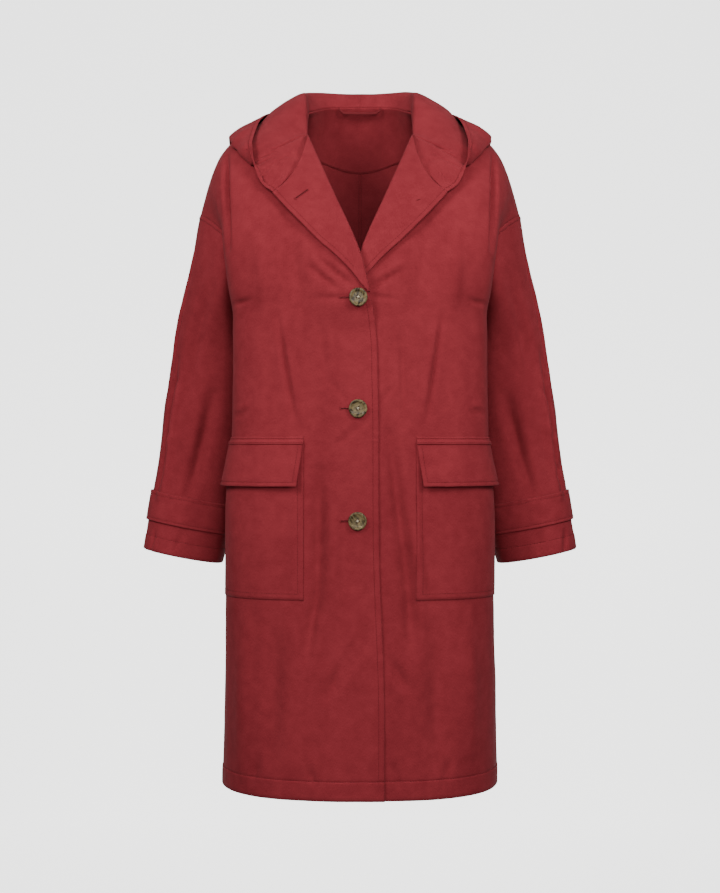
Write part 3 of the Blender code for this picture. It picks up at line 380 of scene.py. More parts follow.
# Hood: x and z are shares of the way from the lapel to the centre back and from seam to rim
HOOD_SPAN = 0.50
HOOD_ROUGHNESS = 1.6
HOOD_FOLDS = {
    "left": (
        Fold(0.130, 0.050, 0.200, 0.340, 0.0060, 0.0010),
        Fold(0.050, 0.800, 0.120, 0.300, 0.0040, 0.0012),
        Fold(0.090, 0.860, 0.180, 0.420, 0.0034, 0.0010),
        Fold(0.150, 0.760, 0.230, 0.260, 0.0042, 0.0013),
        Fold(0.210, 0.820, 0.260, 0.480, 0.0036, 0.0009),
        Fold(0.250, 0.700, 0.330, 0.220, 0.0045, 0.0012),
        Fold(0.070, 0.450, 0.190, 0.180, 0.0036, -0.0009),
        Fold(0.300, 0.080, 0.360, 0.420, 0.0100, 0.0020),
        Fold(0.560, 0.640, 0.600, 0.960, 0.0090, 0.0020),
        Fold(0.760, 0.600, 0.740, 0.940, 0.0110, -0.0022),
        Fold(0.880, 0.560, 0.860, 0.940, 0.0100, 0.0020),
    ),
    "right": (
        Fold(0.160, 0.060, 0.210, 0.300, 0.0070, 0.0009),
        Fold(0.030, 0.700, 0.100, 0.260, 0.0036, 0.0011),
        Fold(0.080, 0.880, 0.150, 0.520, 0.0040, 0.0012),
        Fold(0.120, 0.640, 0.220, 0.200, 0.0034, 0.0010),
        Fold(0.190, 0.860, 0.240, 0.380, 0.0044, 0.0013),
        Fold(0.270, 0.780, 0.310, 0.300, 0.0038, 0.0010),
        Fold(0.240, 0.420, 0.120, 0.300, 0.0040, -0.0009),
        Fold(0.330, 0.060, 0.350, 0.380, 0.0100, 0.0018),
        Fold(0.540, 0.620, 0.570, 0.940, 0.0090, 0.0018),
        Fold(0.740, 0.640, 0.760, 0.960, 0.0110, -0.0020),
        Fold(0.900, 0.560, 0.880, 0.900, 0.0100, 0.0020),
    ),
}

# Depth of every fold, as a share of its table's depth
FOLD_STRENGTH = 2.1

# Slow unevenness of the cloth, and the small puckers beside its seams
SWELL = 0.0014
SWELL_SIZE = 0.085
RUMPLE = 0.00045
RUMPLE_SIZE = 0.022
PUCKER = 0.00035
PUCKER_PITCH = 0.0085

# Topstitching: thread, its distance from the edges, and the groove that it pulls into the cloth
STITCH_LENGTH = 0.0029
STITCH_GAP = 0.0008
THREAD_RADIUS = 0.00028
STITCH_GROOVE = 0.00085
FAINT_GROOVE = 0.00035
STITCH_GROOVE_WIDTH = 0.0012
HEM_DEPTH = 0.0262
CUFF_HEM_DEPTH = 0.0205
EDGE_STITCH = 0.0075
TRIM_STITCH = 0.0045
RIM_STITCH = 0.0055

# Pocket pieces
POCKET_COLUMNS = 64
POCKET_ROWS = 56
BAND_ROWS = 9
FLAP_ROWS = 26
POCKET_STITCH = 0.0080
FLAP_STITCH = 0.0060
BAND_STITCH = 0.0019
BAND_OVERHANG = 0.06
BAND_STAND_OFF = 0.0017
POCKET_BULGE = 0.0022
FLAP_CURL = 0.0030
FLAP_WAVE = 0.0004

# Cuff straps
STRAP_ROWS = 24
STRAP_EASE = 0.0009

# Buttonholes: half width, how far the thread stands off the middle of the cloth, its radius
HOLE_WIDTH = 0.0011
HOLE_RISE = 0.0009
HOLE_THREAD = 0.0006
# Radius of the near-black tube along each slit: painted shade of the gap in the cloth
SLIT_SHADE_RADIUS = 0.0006
HOLE_START_X = 0.0262
HOLE_END_X = 0.0100
LAPEL_HOLE = ((0.0900, -0.1700), (0.0735, -0.1570))
LAPEL_SPOT = (0.0815, -0.1720)

# Buttons, turned more finely than the solids
BUTTON_FINE_PROFILE = (
    (0.0098, 0.0000), (0.0112, 0.0003), (0.0122, 0.0010), (0.0126, 0.0017), (0.0127, 0.0024),
    (0.0124, 0.0031), (0.0117, 0.0036), (0.0107, 0.0037), (0.0099, 0.0035), (0.0091, 0.0030),
    (0.0084, 0.0026), (0.0075, 0.0024), (0.0060, 0.0023),
)
BUTTON_FINE_SIDES = 64
HOLE_SIDES = 16
BUTTON_TURNS = (0.35, 1.30, 2.60)
CROSS_RISE = 0.0006
CROSS_DIVE = 0.0014
CROSS_STRAND = 0.00032
SHANK_RADIUS = 0.0022

# Hanger loop: how far it stands off the facing, and the crown across its width
LOOP_STAND = 0.0012
LOOP_ROUND = 0.0004

# Camera: level, in front of the coat
CAMERA_PLACE = (0.0, -2.3, -0.516)
CAMERA_LENS = 62.8

# Stitching beside the seams and edges: its distance from them, and the step up at the armhole
SEAM_STITCH = 0.0022
ARMHOLE_STITCH = 0.0060
ARMHOLE_LIFT = 0.0011
SHOULDER_STITCH = 0.10
LAPEL_STITCH = 0.0055
FACING_WRAP_RUN = 0.0030
BACK_FACING_STITCH = 0.0020

# Colours
# Twill colours; the slow upright mottle between TWILL_DARK and TWILL_LIGHT is partly the cloth's tone and
# partly painted shade of long folds
TWILL_DARK = (0.138, 0.0110, 0.0160)
TWILL_LIGHT = (0.182, 0.0170, 0.0230)
TWILL_DEEP = (0.105, 0.0080, 0.0120)
TWILL_PALE = (0.228, 0.0260, 0.0330)
TWILL_SCALE = 480.0
# Thread: darker than the cloth, partly its own tone and partly painted shade of the grooves the stitches sit
# in
THREAD_DARK = (0.060, 0.0040, 0.0060)
THREAD_LIGHT = (0.100, 0.0070, 0.0100)
# Painted shade: near-black colours of the tube that stands for the shaded gap of each buttonhole slit
SLIT_SHADE_DARK = (0.012, 0.0010, 0.0015)
SLIT_SHADE_LIGHT = (0.030, 0.0022, 0.0030)
CREAM_DARK = (0.330, 0.270, 0.180)
CREAM_LIGHT = (0.520, 0.450, 0.330)
TAPE_DARK = (0.075, 0.0055, 0.0085)
TAPE_LIGHT = (0.135, 0.0110, 0.0150)
HORN_DARK = (0.006, 0.004, 0.002)
HORN_PALE = (0.130, 0.092, 0.040)
HORN_STOPS = (
    (0.36, (0.008, 0.005, 0.003)), (0.44, (0.045, 0.031, 0.013)), (0.52, (0.110, 0.082, 0.036)),
    (0.62, (0.150, 0.108, 0.047)), (0.78, (0.270, 0.205, 0.105)),
)
PAPER = (0.760, 0.760, 0.755)
PAPER_GLOW = 2.15

# Room and lamps: name, place, aim, size, watts
FLOOR_Z = -1.5
FLOOR_FRONT_Y = 0.8
SWEEP_Y = 1.8
SWEEP_RADIUS = 0.8
SWEEP_TOP_Z = 1.2
ROOM_HALF_WIDTH = 1.3
ROOM_LIGHT = 0.27
LAMPS = (
    ("key", (-1.20, -1.35, 0.66), (0.0, 0.0, -0.30), (0.7, 0.7), 34.0),
    ("second", (1.20, -1.40, 0.66), (0.0, 0.0, -0.30), (0.7, 0.7), 32.0),
    ("fill", (0.1, -2.8, 0.10), (0.0, 0.0, -0.30), (1.0, 0.8), 46.0),
    ("top", (0.0, -0.5, 1.60), (0.0, 0.0, -0.30), (1.2, 0.8), 6.0),
)

# The flat cut of what each piece shows: width, length, area, and what it hangs from
CUTS = {
    "front": (0.430, 1.063, 0.333, ("hood_{0}", "sleeve_{0}")),
    "facing": (0.146, 0.283, 0.0142, ("front_panel_{0}",)),
    "back": (0.355, 1.023, 0.222, ("hood_{0}", "sleeve_{0}")),
    "sleeve": (0.509, 0.497, 0.162, ("front_panel_{0}", "back_panel_{0}")),
    "strap": (0.391, 0.0445, 0.0165, ("sleeve_{0}",)),
    "hood": (0.536, 0.540, 0.128, ("front_panel_{0}", "back_panel_{0}")),
    "pocket": (0.266, 0.219, 0.057, ("front_panel_{0}",)),
    "pocket_band": (0.261, 0.0101, 0.0022, ("front_panel_{0}",)),
    "pocket_flap": (0.266, 0.061, 0.0159, ("front_panel_{0}",)),
    "back_neck_facing": (0.3625, 0.1003, 0.0276, ("back_panel_left", "back_panel_right")),
    "hanger_loop": (0.0101, 0.069, 0.00023, ("back_neck_facing",)),
}


# ---- curves

def along(points, fractions):
    """Points at the given fractions of a smooth curve through the given points."""
    values = np.asarray(points, dtype=float)
    steps = np.linalg.norm(np.diff(values, axis=0), axis=1)
    knots = np.concatenate(([0.0], np.cumsum(steps))) / steps.sum()
    return spline(knots, values, np.asarray(fractions, dtype=float))


def spline(knots, values, at):
    """Cubic through the values, with the slope at each knot weighted by its two spans."""
    knots = np.asarray(knots, dtype=float)
    values = np.asarray(values, dtype=float)
    at = np.atleast_1d(at)
    spans = np.diff(knots)
    slopes = np.diff(values, axis=0) / spans.reshape(-1, *([1] * (values.ndim - 1)))
    tangents = np.empty_like(values)
    tangents[0] = slopes[0]
    tangents[-1] = slopes[-1]
    for i in range(1, len(knots) - 1):
        before, after = spans[i - 1], spans[i]
        tangents[i] = (slopes[i - 1] * after + slopes[i] * before) / (before + after)
    cell = np.clip(np.searchsorted(knots, at, side="right") - 1, 0, len(spans) - 1)
    t = (at - knots[cell]) / spans[cell]
    shape = (-1, *([1] * (values.ndim - 1)))
    t = t.reshape(shape)
    span = spans[cell].reshape(shape)
    rise = (1 + 2 * t) * (1 - t) ** 2 * values[cell] + t * t * (3 - 2 * t) * values[cell + 1]
    return rise + t * (1 - t) ** 2 * span * tangents[cell] - t * t * (1 - t) * span * tangents[cell + 1]


def column(table, name):
    return np.array([getattr(row, name) for row in table])


def read(table, key, name, at):
    """A column of a table, read smoothly at a value of its key column, which falls."""
    return float(spline(-column(table, key), column(table, name), np.array([-at]))[0])


def smooth(t):
    t = np.clip(t, 0.0, 1.0)
    return t * t * (3 - 2 * t)


def by_length(line, starts):
    """Points of a polyline at the given distances along it."""
    steps = np.linalg.norm(np.diff(line, axis=0), axis=1)
    run = np.concatenate(([0.0], np.cumsum(steps)))
    return np.stack([np.interp(starts, run, line[:, axis]) for axis in range(line.shape[1])], axis=1)


def length_at(line, axis, value):
    """Distance along a polyline to where one coordinate first reaches a value."""
    steps = np.linalg.norm(np.diff(line, axis=0), axis=1)
    run = np.concatenate(([0.0], np.cumsum(steps)))
    past = int(np.argmax(line[:, axis] >= value))
    a, b = line[past - 1, axis], line[past, axis]
    return run[past - 1] + (run[past] - run[past - 1]) * (value - a) / (b - a)


def unit(vectors):
    return vectors / np.maximum(np.linalg.norm(vectors, axis=-1, keepdims=True), 1e-9)


# ---- body panels

def outline(z):
    """Half of the body's level cut as (x, y) points, from past the centre front to the back."""
    width = read(BODY, "z", "half_width", z)
    widest = read(BODY, "z", "widest_y", z)
    front = read(BODY, "z", "front", z)
    back = read(BODY, "z", "back", z)
    press = max(read(BODY, "z", "arm_press", z), 0.0)
    turn = np.linspace(0.0, math.pi / 2, 60)
    power = 2 / BODY_SQUARENESS
    x = width * np.sin(turn) ** power
    y = widest - (front + widest) * np.cos(turn) ** power
    x_back = width * np.cos(turn[1:]) ** power
    y_back = widest + (back - widest) * np.sin(turn[1:]) ** power
    x_back *= 1 - press / width * smooth((y_back - widest) / (SIDE_SEAM_Y - widest))
    half = np.column_stack((np.concatenate((x, x_back)), np.concatenate((y, y_back))))
    past = half[1:8][::-1] * (-1, 1)
    return np.concatenate((past, half))


def front_row(z, edge_x):
    """A level row of a front, from its edge past the centre line to the side seam."""
    line = outline(z)
    edge = length_at(line, 0, -edge_x)
    pocket = length_at(line, 0, POCKET_EDGE_X)
    side = length_at(line, 1, SIDE_SEAM_Y)
    inner = np.linspace(edge, pocket, EDGE_COLUMNS + 1)
    outer = np.linspace(pocket, side, FRONT_COLUMNS - EDGE_COLUMNS + 1)[1:]
    row = by_length(line, np.concatenate((inner, outer)))
    return np.column_stack((row, np.full(len(row), z)))


def back_row(z):
    """A level row of half the back, from the centre seam to the side seam."""
    line = outline(z)
    side = length_at(line, 1, SIDE_SEAM_Y)
    end = np.linalg.norm(np.diff(line, axis=0), axis=1).sum()
    row = by_length(line, np.linspace(end, side, NECK_COLUMNS + FRONT_COLUMNS + 1))
    return np.column_stack((row, np.full(len(row), z)))


def shoulder_sweep(top, bottom, drop):
    """Rows that leave the shoulder level and come down upright, like a quarter of an ellipse."""
    rows = []
    for j in range(UPPER_ROWS + 1):
        v = j / UPPER_ROWS
        out = math.sin(v * math.pi / 2)
        down = (1 - drop) * (1 - math.cos(v * math.pi / 2)) + drop * v
        row = top + (bottom - top) * np.array([v, out, 0.0])
        row[:, 2] = top[:, 2] + (bottom[:, 2] - top[:, 2]) * down
        rows.append(row)
    return np.array(rows)


def pull_to_armhole(rows, armhole, power=3):
    reach = np.linspace(0.0, 1.0, rows.shape[1]) ** power
    return rows + (armhole - rows[:, -1])[:, None, :] * reach[None, :, None]


def fractions(count):
    return np.linspace(0.0, 1.0, count + 1)


def front_grid(upper):
    """Rows and columns of points of a front, without its lapel, for the left half's side."""
    lap = "upper" if upper else "under"
    underarm = BODY[0].z
    bottom = front_row(underarm, read(FRONT_EDGE, "z", lap, underarm))
    top = along(SHOULDER, fractions(FRONT_COLUMNS))
    rows = shoulder_sweep(top, bottom, 0.0)
    armhole = along((*ARMHOLE_FRONT, bottom[-1]), fractions(UPPER_ROWS) ** ARMHOLE_SPACING)
    rows = pull_to_armhole(rows, armhole)
    roll = along(ROLL_LINE, fractions(LAST_LAPEL_ROW - NECK_ROWS))
    edge = np.concatenate((along(FRONT_NECK, fractions(NECK_ROWS)), roll[1:], bottom[:1]))
    fade = (1 - np.linspace(0.0, 1.0, rows.shape[1])) ** 2
    rows = rows + (edge - rows[:, 0])[:, None, :] * fade[None, :, None]
    rows = arm_fold(rows)
    lower = [front_row(z, read(FRONT_EDGE, "z", lap, z)) for z in LOWER_LEVELS]
    grid = np.concatenate((rows, lower))
    if upper:
        grid = lift_lap(grid)
    return grid


def arm_fold(rows):
    """Press the fold between chest and sleeve head into the upper rows."""
    deep = smooth((ARM_FOLD_TOP_Z - rows[..., 2]) / ARM_FOLD_FALL) * ARM_FOLD_DEPTH
    across = np.exp(-(((rows[..., 0] - ARM_FOLD_X) / ARM_FOLD_HALF_WIDTH) ** 2))
    free = 1 - np.linspace(0.0, 1.0, rows.shape[1]) ** 6
    ending = 1 - smooth((ARM_FOLD_END_Z - rows[..., 2]) / ARM_FOLD_FADE)
    rows = rows.copy()
    rows[..., 1] += np.where(rows[..., 1] < 0.0, deep * across * free * ending, 0.0)
    return rows


def lift_lap(grid):
    """Carry the upper front's edge forward so that it lies on the under front."""
    grid = grid.copy()
    near_edge = smooth((LAP_EASE_X - grid[..., 0]) / (LAP_EASE_X - LAP_FULL_X))
    below_neck = smooth((-0.12 - grid[..., 2]) / 0.10)
    at_break = smooth((grid[..., 2] + 0.350) / 0.040)
    lift = LAP_LIFT + (LAP_BREAK_LIFT - LAP_LIFT) * at_break
    grid[..., 1] -= lift * near_edge * below_neck
    return grid


def back_grid():
    underarm = BODY[0].z
    bottom = back_row(underarm)
    shoulder = along(SHOULDER, fractions(FRONT_COLUMNS))
    neck = along(BACK_NECK, fractions(NECK_COLUMNS))
    top = np.concatenate((neck[:-1], shoulder))
    drop = NECK_DROP * (1 - smooth(np.linspace(0.0, 2.5, len(top))))
    rows = shoulder_sweep(top, bottom, drop)
    armhole = along((*ARMHOLE_BACK, bottom[-1]), fractions(UPPER_ROWS))
    rows = pull_to_armhole(rows, armhole)
    return np.concatenate((rows, [back_row(z) for z in LOWER_LEVELS]))


# ---- sleeves

def sleeve_ring(z, angles):
    tilt = math.radians(read(SLEEVE, "z", "tilt", z))
    outer = read(SLEEVE, "z", "outer", z)
    inner = read(SLEEVE, "z", "inner", z)
    depth = read(SLEEVE, "z", "half_depth", z)
    middle = np.array([(outer + inner) / 2, read(SLEEVE, "z", "centre_y", z), z])
    out = np.array([math.cos(tilt), 0.0, math.sin(tilt)]) * (outer - inner) / 2 / math.cos(tilt)
    forward = np.array([0.0, -depth, 0.0])
    return middle + np.cos(angles)[:, None] * out + np.sin(angles)[:, None] * forward


def sleeve_grid(front, back):
    """Rings of points from the armhole to the cuff, each starting at the outer side."""
    ahead = front[: UPPER_ROWS + 1, -1]
    behind = back[: UPPER_ROWS + 1, -1][::-1]
    loop = np.concatenate((ahead, behind[1:-1]))
    angles = np.concatenate((half_turn(ahead), math.pi + half_turn(behind)[1:-1]))
    rings = [sleeve_ring(z, angles) for z in SLEEVE_LEVELS]
    tilt = math.radians(SLEEVE[0].tilt)
    axis = np.array([math.sin(tilt), 0.0, -math.cos(tilt)])
    span = rings[0] - loop
    length = np.linalg.norm(span, axis=1, keepdims=True)
    inner = (0.5 - 0.5 * np.cos(angles))[:, None]
    start = length * axis * (1 - inner) + span * inner + inner * np.array([SLEEVE_SPRING, 0.0, 0.0])
    cap = []
    for k in range(SLEEVE_CAP_ROWS):
        t = k / SLEEVE_CAP_ROWS
        point = (1 + 2 * t) * (1 - t) ** 2 * loop + t * t * (3 - 2 * t) * rings[0]
        cap.append(point + t * (1 - t) ** 2 * start - t * t * (1 - t) * length * axis)
    return np.array(cap + rings)


def half_turn(points):
    steps = np.linalg.norm(np.diff(points, axis=0), axis=1)
    return np.concatenate(([0.0], np.cumsum(steps))) / steps.sum() * math.pi


def tree(points_grids):
    """A search tree over grids of points, to lay other pieces on them."""
    points, faces, start = [], [], 0
    for grid in points_grids:
        index = start + np.arange(grid.shape[0] * grid.shape[1]).reshape(grid.shape[:2])
        start += index.size
        points += [Vector(p) for p in grid.reshape(-1, 3)]
        a, b = index[:-1, :-1].ravel(), index[:-1, 1:].ravel()
        c, d = index[1:, 1:].ravel(), index[1:, :-1].ravel()
        faces += np.column_stack((a, d, c, b)).tolist()
    return BVHTree.FromPolygons(points, faces)


def on_front(body, x, z, lift):
    """The point in front of (x, z) on the chest, moved out from the cloth."""
    place, normal, _, _ = body.ray_cast(Vector((x, -1.0, z)), Vector((0.0, 1.0, 0.0)))
    normal = normal if normal.y < 0 else -normal
    return np.array(place + normal * lift)


def front_normals(grid):
    """Outward directions at the points of a grid whose columns run away from the centre."""
    across = np.gradient(grid, axis=1)
    down = np.gradient(grid, axis=0)
    return unit(np.cross(down, across))


def lapel_grid(front, body):
    """Roll and turned-out strip of a lapel: a row for each row of the front that it joins."""
    rows = range(NECK_ROWS, LAST_LAPEL_ROW + 1)
    count = len(rows) - 1
    normals = front_normals(front)[NECK_ROWS : LAST_LAPEL_ROW + 1, 0]
    roll = front[NECK_ROWS : LAST_LAPEL_ROW + 1, 0]
    inward = unit(roll - front[NECK_ROWS : LAST_LAPEL_ROW + 1, 1])
    turn = roll + (normals + inward) * ROLL_LIFT / 2
    edge = along(LAPEL_EDGE, fractions(count))
    top = along(LAPEL_TOP, fractions(LAPEL_COLUMNS))
    strip = np.empty((count + 1, LAPEL_COLUMNS + 1, 3))
    for j in range(count + 1):
        full = LAPEL_TOP_LIFT + (ROLL_LIFT - LAPEL_TOP_LIFT) * smooth(j / count)
        for c in range(LAPEL_COLUMNS + 1):
            g = c / LAPEL_COLUMNS
            bow = (top[c] - (top[0] + (top[-1] - top[0]) * g)) * (1 - j / count) ** 2
            x, z = roll[j, [0, 2]] * (1 - g) + edge[j] * g + bow
            lift = ROLL_LIFT + (full - ROLL_LIFT) * g
            strip[j, c] = roll[j] + normals[j] * ROLL_LIFT if c == 0 else on_front(body, x, z, lift)
    return turn, strip


def facing_grid(front, turn, strip):
    """The facing on the lapel's shown face, from just inside the roll to the outer edge."""
    panel = front[NECK_ROWS : LAST_LAPEL_ROW + 1]
    cloth = np.concatenate((panel[:, 1:2], panel[:, :1], turn[:, None], strip), axis=1)
    cloth[:, 0] = cloth[:, 1] + unit(cloth[:, 0] - cloth[:, 1]) * FACING_RETURN
    across = np.diff(cloth, axis=1)
    down = np.gradient(cloth, axis=0)
    faces = unit(np.cross((down[:, 1:] + down[:, :-1]) / 2, across))
    before = np.concatenate((faces[:, :1], faces), axis=1)
    after = np.concatenate((faces, faces[:, -1:]), axis=1)
    outward = unit(before + after)
    mitre = 1 / np.maximum(np.sum(outward * before, axis=2, keepdims=True), 0.5)
    facing = cloth + outward * mitre * ((WALL + FACING_WALL) / 2 + LAYER_GAP)
    facing[0] += unit(facing[1] - facing[0]) * FACING_PULL
    return facing


def neck_chain(front, back, turn, strip, facing):
    """Points of the neck seam from the lapel's outer corner round to the centre back."""
    shown = (strip + facing[:, 3:]) / 2
    top = along(shown[0, ::-1], HOOD_ON_LAPEL)
    below = along(shown[1, ::-1], HOOD_ON_LAPEL)
    on_lapel = top + unit(top - below) * HOOD_SEAM_RISE
    rolled = (turn[:1] + facing[:1, 2]) / 2
    inside = np.concatenate((rolled, front[NECK_ROWS::-1, 0], back[0, NECK_COLUMNS - 1 :: -1]))
    return np.concatenate((on_lapel, inside + (0.0, 0.0, HOOD_SEAM_RISE)))


def hood_grid(chain):
    """Rows from the neck seam to the rim, columns from the lapel to the centre back."""
    corner, seam = chain[0], chain[1:]
    count = np.arange(1, len(seam))
    at = column(HOOD, "at")
    at = np.append(at, 2 * at[-1] - at[-2])
    keys = [seam]
    names = ("crest", "slope", "dip", "fold", "outer", "rim")
    for number, name in enumerate(names, start=1):
        first = seam[0] + (corner - seam[0]) * number / len(names)
        values = column(HOOD, name)
        beyond = values[-2:-1] * (-1, 1, 1)
        rest = spline(at, np.concatenate((values, beyond)), count)
        keys.append(np.concatenate((first[None], rest)))
    knots = np.arange(len(keys))
    return spline(knots, np.array(keys), np.linspace(0, knots[-1], HOOD_STEPS * knots[-1] + 1))


def sampled(grid, rows, columns):
    """Points of a grid at fractional rows and columns, on its flat faces."""
    rows = np.broadcast_to(rows, np.broadcast(rows, columns).shape)
    columns = np.broadcast_to(columns, rows.shape)
    r = np.clip(rows.astype(int), 0, grid.shape[0] - 2)
    c = np.clip(columns.astype(int), 0, grid.shape[1] - 2)
    u = (rows - r)[..., None]
    v = (columns - c)[..., None]
    upper = grid[r, c] * (1 - v) + grid[r, c + 1] * v
    lower = grid[r + 1, c] * (1 - v) + grid[r + 1, c + 1] * v
    return upper * (1 - u) + lower * u


def row_of(level):
    return UPPER_ROWS + 1 + LOWER_LEVELS.index(level)


# ---- fine surfaces

def mirrored(points, side):
    return points * np.array([side, 1.0, 1.0])


def places(count, steps, stitched=()):
    """Even fine places along rows or columns, with closer ones about each line of stitches.

    Each line of stitches is its place and the metres to one row or column there.
    """
    even = np.linspace(0.0, count, count * steps + 1)
    for at, span in stitched:
        close = at + np.array(CLOSE_PLACES) / span
        even = even[np.abs(even - at) > KEEP_OFF / span]
        even = np.concatenate((even, close[(close > 0.0) & (close < count)]))
    return np.unique(np.round(np.concatenate((even, (0.0, count))), 5))


def refine(grid, rows, columns, closed):
    """The same smooth surface, read at other places between its rows and columns."""
    across = spline(np.arange(len(grid)), grid, rows).swapaxes(0, 1)
    if closed:
        across = np.concatenate((across[-WRAP:], across, across[: WRAP + 1]))
        columns = columns + WRAP
    return spline(np.arange(len(across)), across, columns).swapaxes(0, 1)


class Surface:
    """The middle of one piece's cloth: points, outward directions, and its grid's own places."""

    def __init__(self, grid, rows, columns, closed=False, flip=False):
        self.grid = grid
        self.rows = rows
        self.columns = columns
        self.closed = closed
        self.flip = flip
        self.turn()

    def turn(self):
        """Work out the outward directions again."""
        down = np.gradient(self.grid, axis=0)
        if self.closed:
            ring = np.concatenate((self.grid[:, -2:-1], self.grid, self.grid[:, 1:2]), axis=1)
            across = np.gradient(ring, axis=1)[:, 1:-1]
        else:
            across = np.gradient(self.grid, axis=1)
        self.normals = unit(np.cross(down, across)) * (-1.0 if self.flip else 1.0)

    def move(self, field):
        """Move the cloth out by a field of distances."""
        self.grid = self.grid + self.normals * field[..., None]
        self.turn()

    def at(self, rows, columns, lift=0.0):
        """Points at places of the grid, lifted off the cloth, and their outward directions."""
        r = np.interp(rows, self.rows, np.arange(len(self.rows)))
        c = np.interp(columns, self.columns, np.arange(len(self.columns)))
        out = unit(sampled(self.normals, r, c))
        return sampled(self.grid, r, c) + out * np.asarray(lift)[..., None], out

    def near_edge(self, rows, distance, last=False):
        """Columns at a distance in from the first or last column, at the given rows."""
        line = self.at(np.asarray(rows)[:, None], self.columns[None])[0]
        run = distance_along(line, 1)
        if last:
            run = run[:, -1:] - run
            return np.array([np.interp(distance, r[::-1], self.columns[::-1]) for r in run])
        return np.array([np.interp(distance, r, self.columns) for r in run])

    def edge_distance(self, axis, last=False):
        run = distance_along(self.grid, axis)
        return np.take(run, [-1], axis=axis) - run if last else run


def finely(grid, rows, columns, closed=False, flip=False):
    return Surface(refine(grid, rows, columns, closed), rows, columns, closed, flip)


def fold_field(spots, folds):
    """How far the cloth moves out at each place, from a table of folds."""
    field = np.zeros(spots.shape[:-1])
    for fold in folds:
        start = np.array((fold.x, fold.z))
        run = np.array((fold.x_end, fold.z_end)) - start
        t = np.clip(np.sum((spots - start) * run, axis=-1) / np.dot(run, run), 0.0, 1.0)
        off = spots - start - t[..., None] * run
        q = np.sum(off * off, axis=-1) / fold.width**2
        field -= FOLD_STRENGTH * fold.depth * (0.3 + 0.7 * np.sin(np.pi * t)) * (1 - 0.7 * q) * np.exp(-q)
    return field


def uneven(points, seed):
    """Slow swells and small rumples, the same each run."""
    shift = Vector((seed * 3.1, seed * 1.7, seed * 2.3))
    values = []
    for point in points.reshape(-1, 3).tolist():
        place = Vector(point)
        swell = noise.noise(place / SWELL_SIZE + shift)
        rumple = noise.noise(place / RUMPLE_SIZE + shift)
        values.append(SWELL * swell + RUMPLE * rumple * (0.5 + abs(swell)))
    return np.array(values).reshape(points.shape[:-1])


def distance_along(grid, axis):
    """Lengths along the rows (axis 1) or down the columns (axis 0) of a grid."""
    steps = np.linalg.norm(np.diff(grid, axis=axis), axis=-1)
    zero = np.zeros_like(np.take(steps, [0], axis=axis))
    return np.concatenate((zero, np.cumsum(steps, axis=axis)), axis=axis)


def groove(distance, at, depth=STITCH_GROOVE):
    """The dent along a line of stitches, and the slight roll beside it."""
    off = (distance - at) / STITCH_GROOVE_WIDTH
    return -depth * (1 - 0.3 * off**2) * np.exp(-(off**2))


def puckers(distance, reach, run, seed):
    """Small waves square to a seam or hem, dying out at their reach from it."""
    near = np.exp(-((distance / reach) ** 2))
    wave = np.sin(2 * np.pi * run / PUCKER_PITCH + 2.2 * np.sin(run * 61 + seed) + seed)
    return PUCKER * near * wave * (0.6 + 0.4 * np.sin(run * 37 + 2 * seed))


# ---- meshes

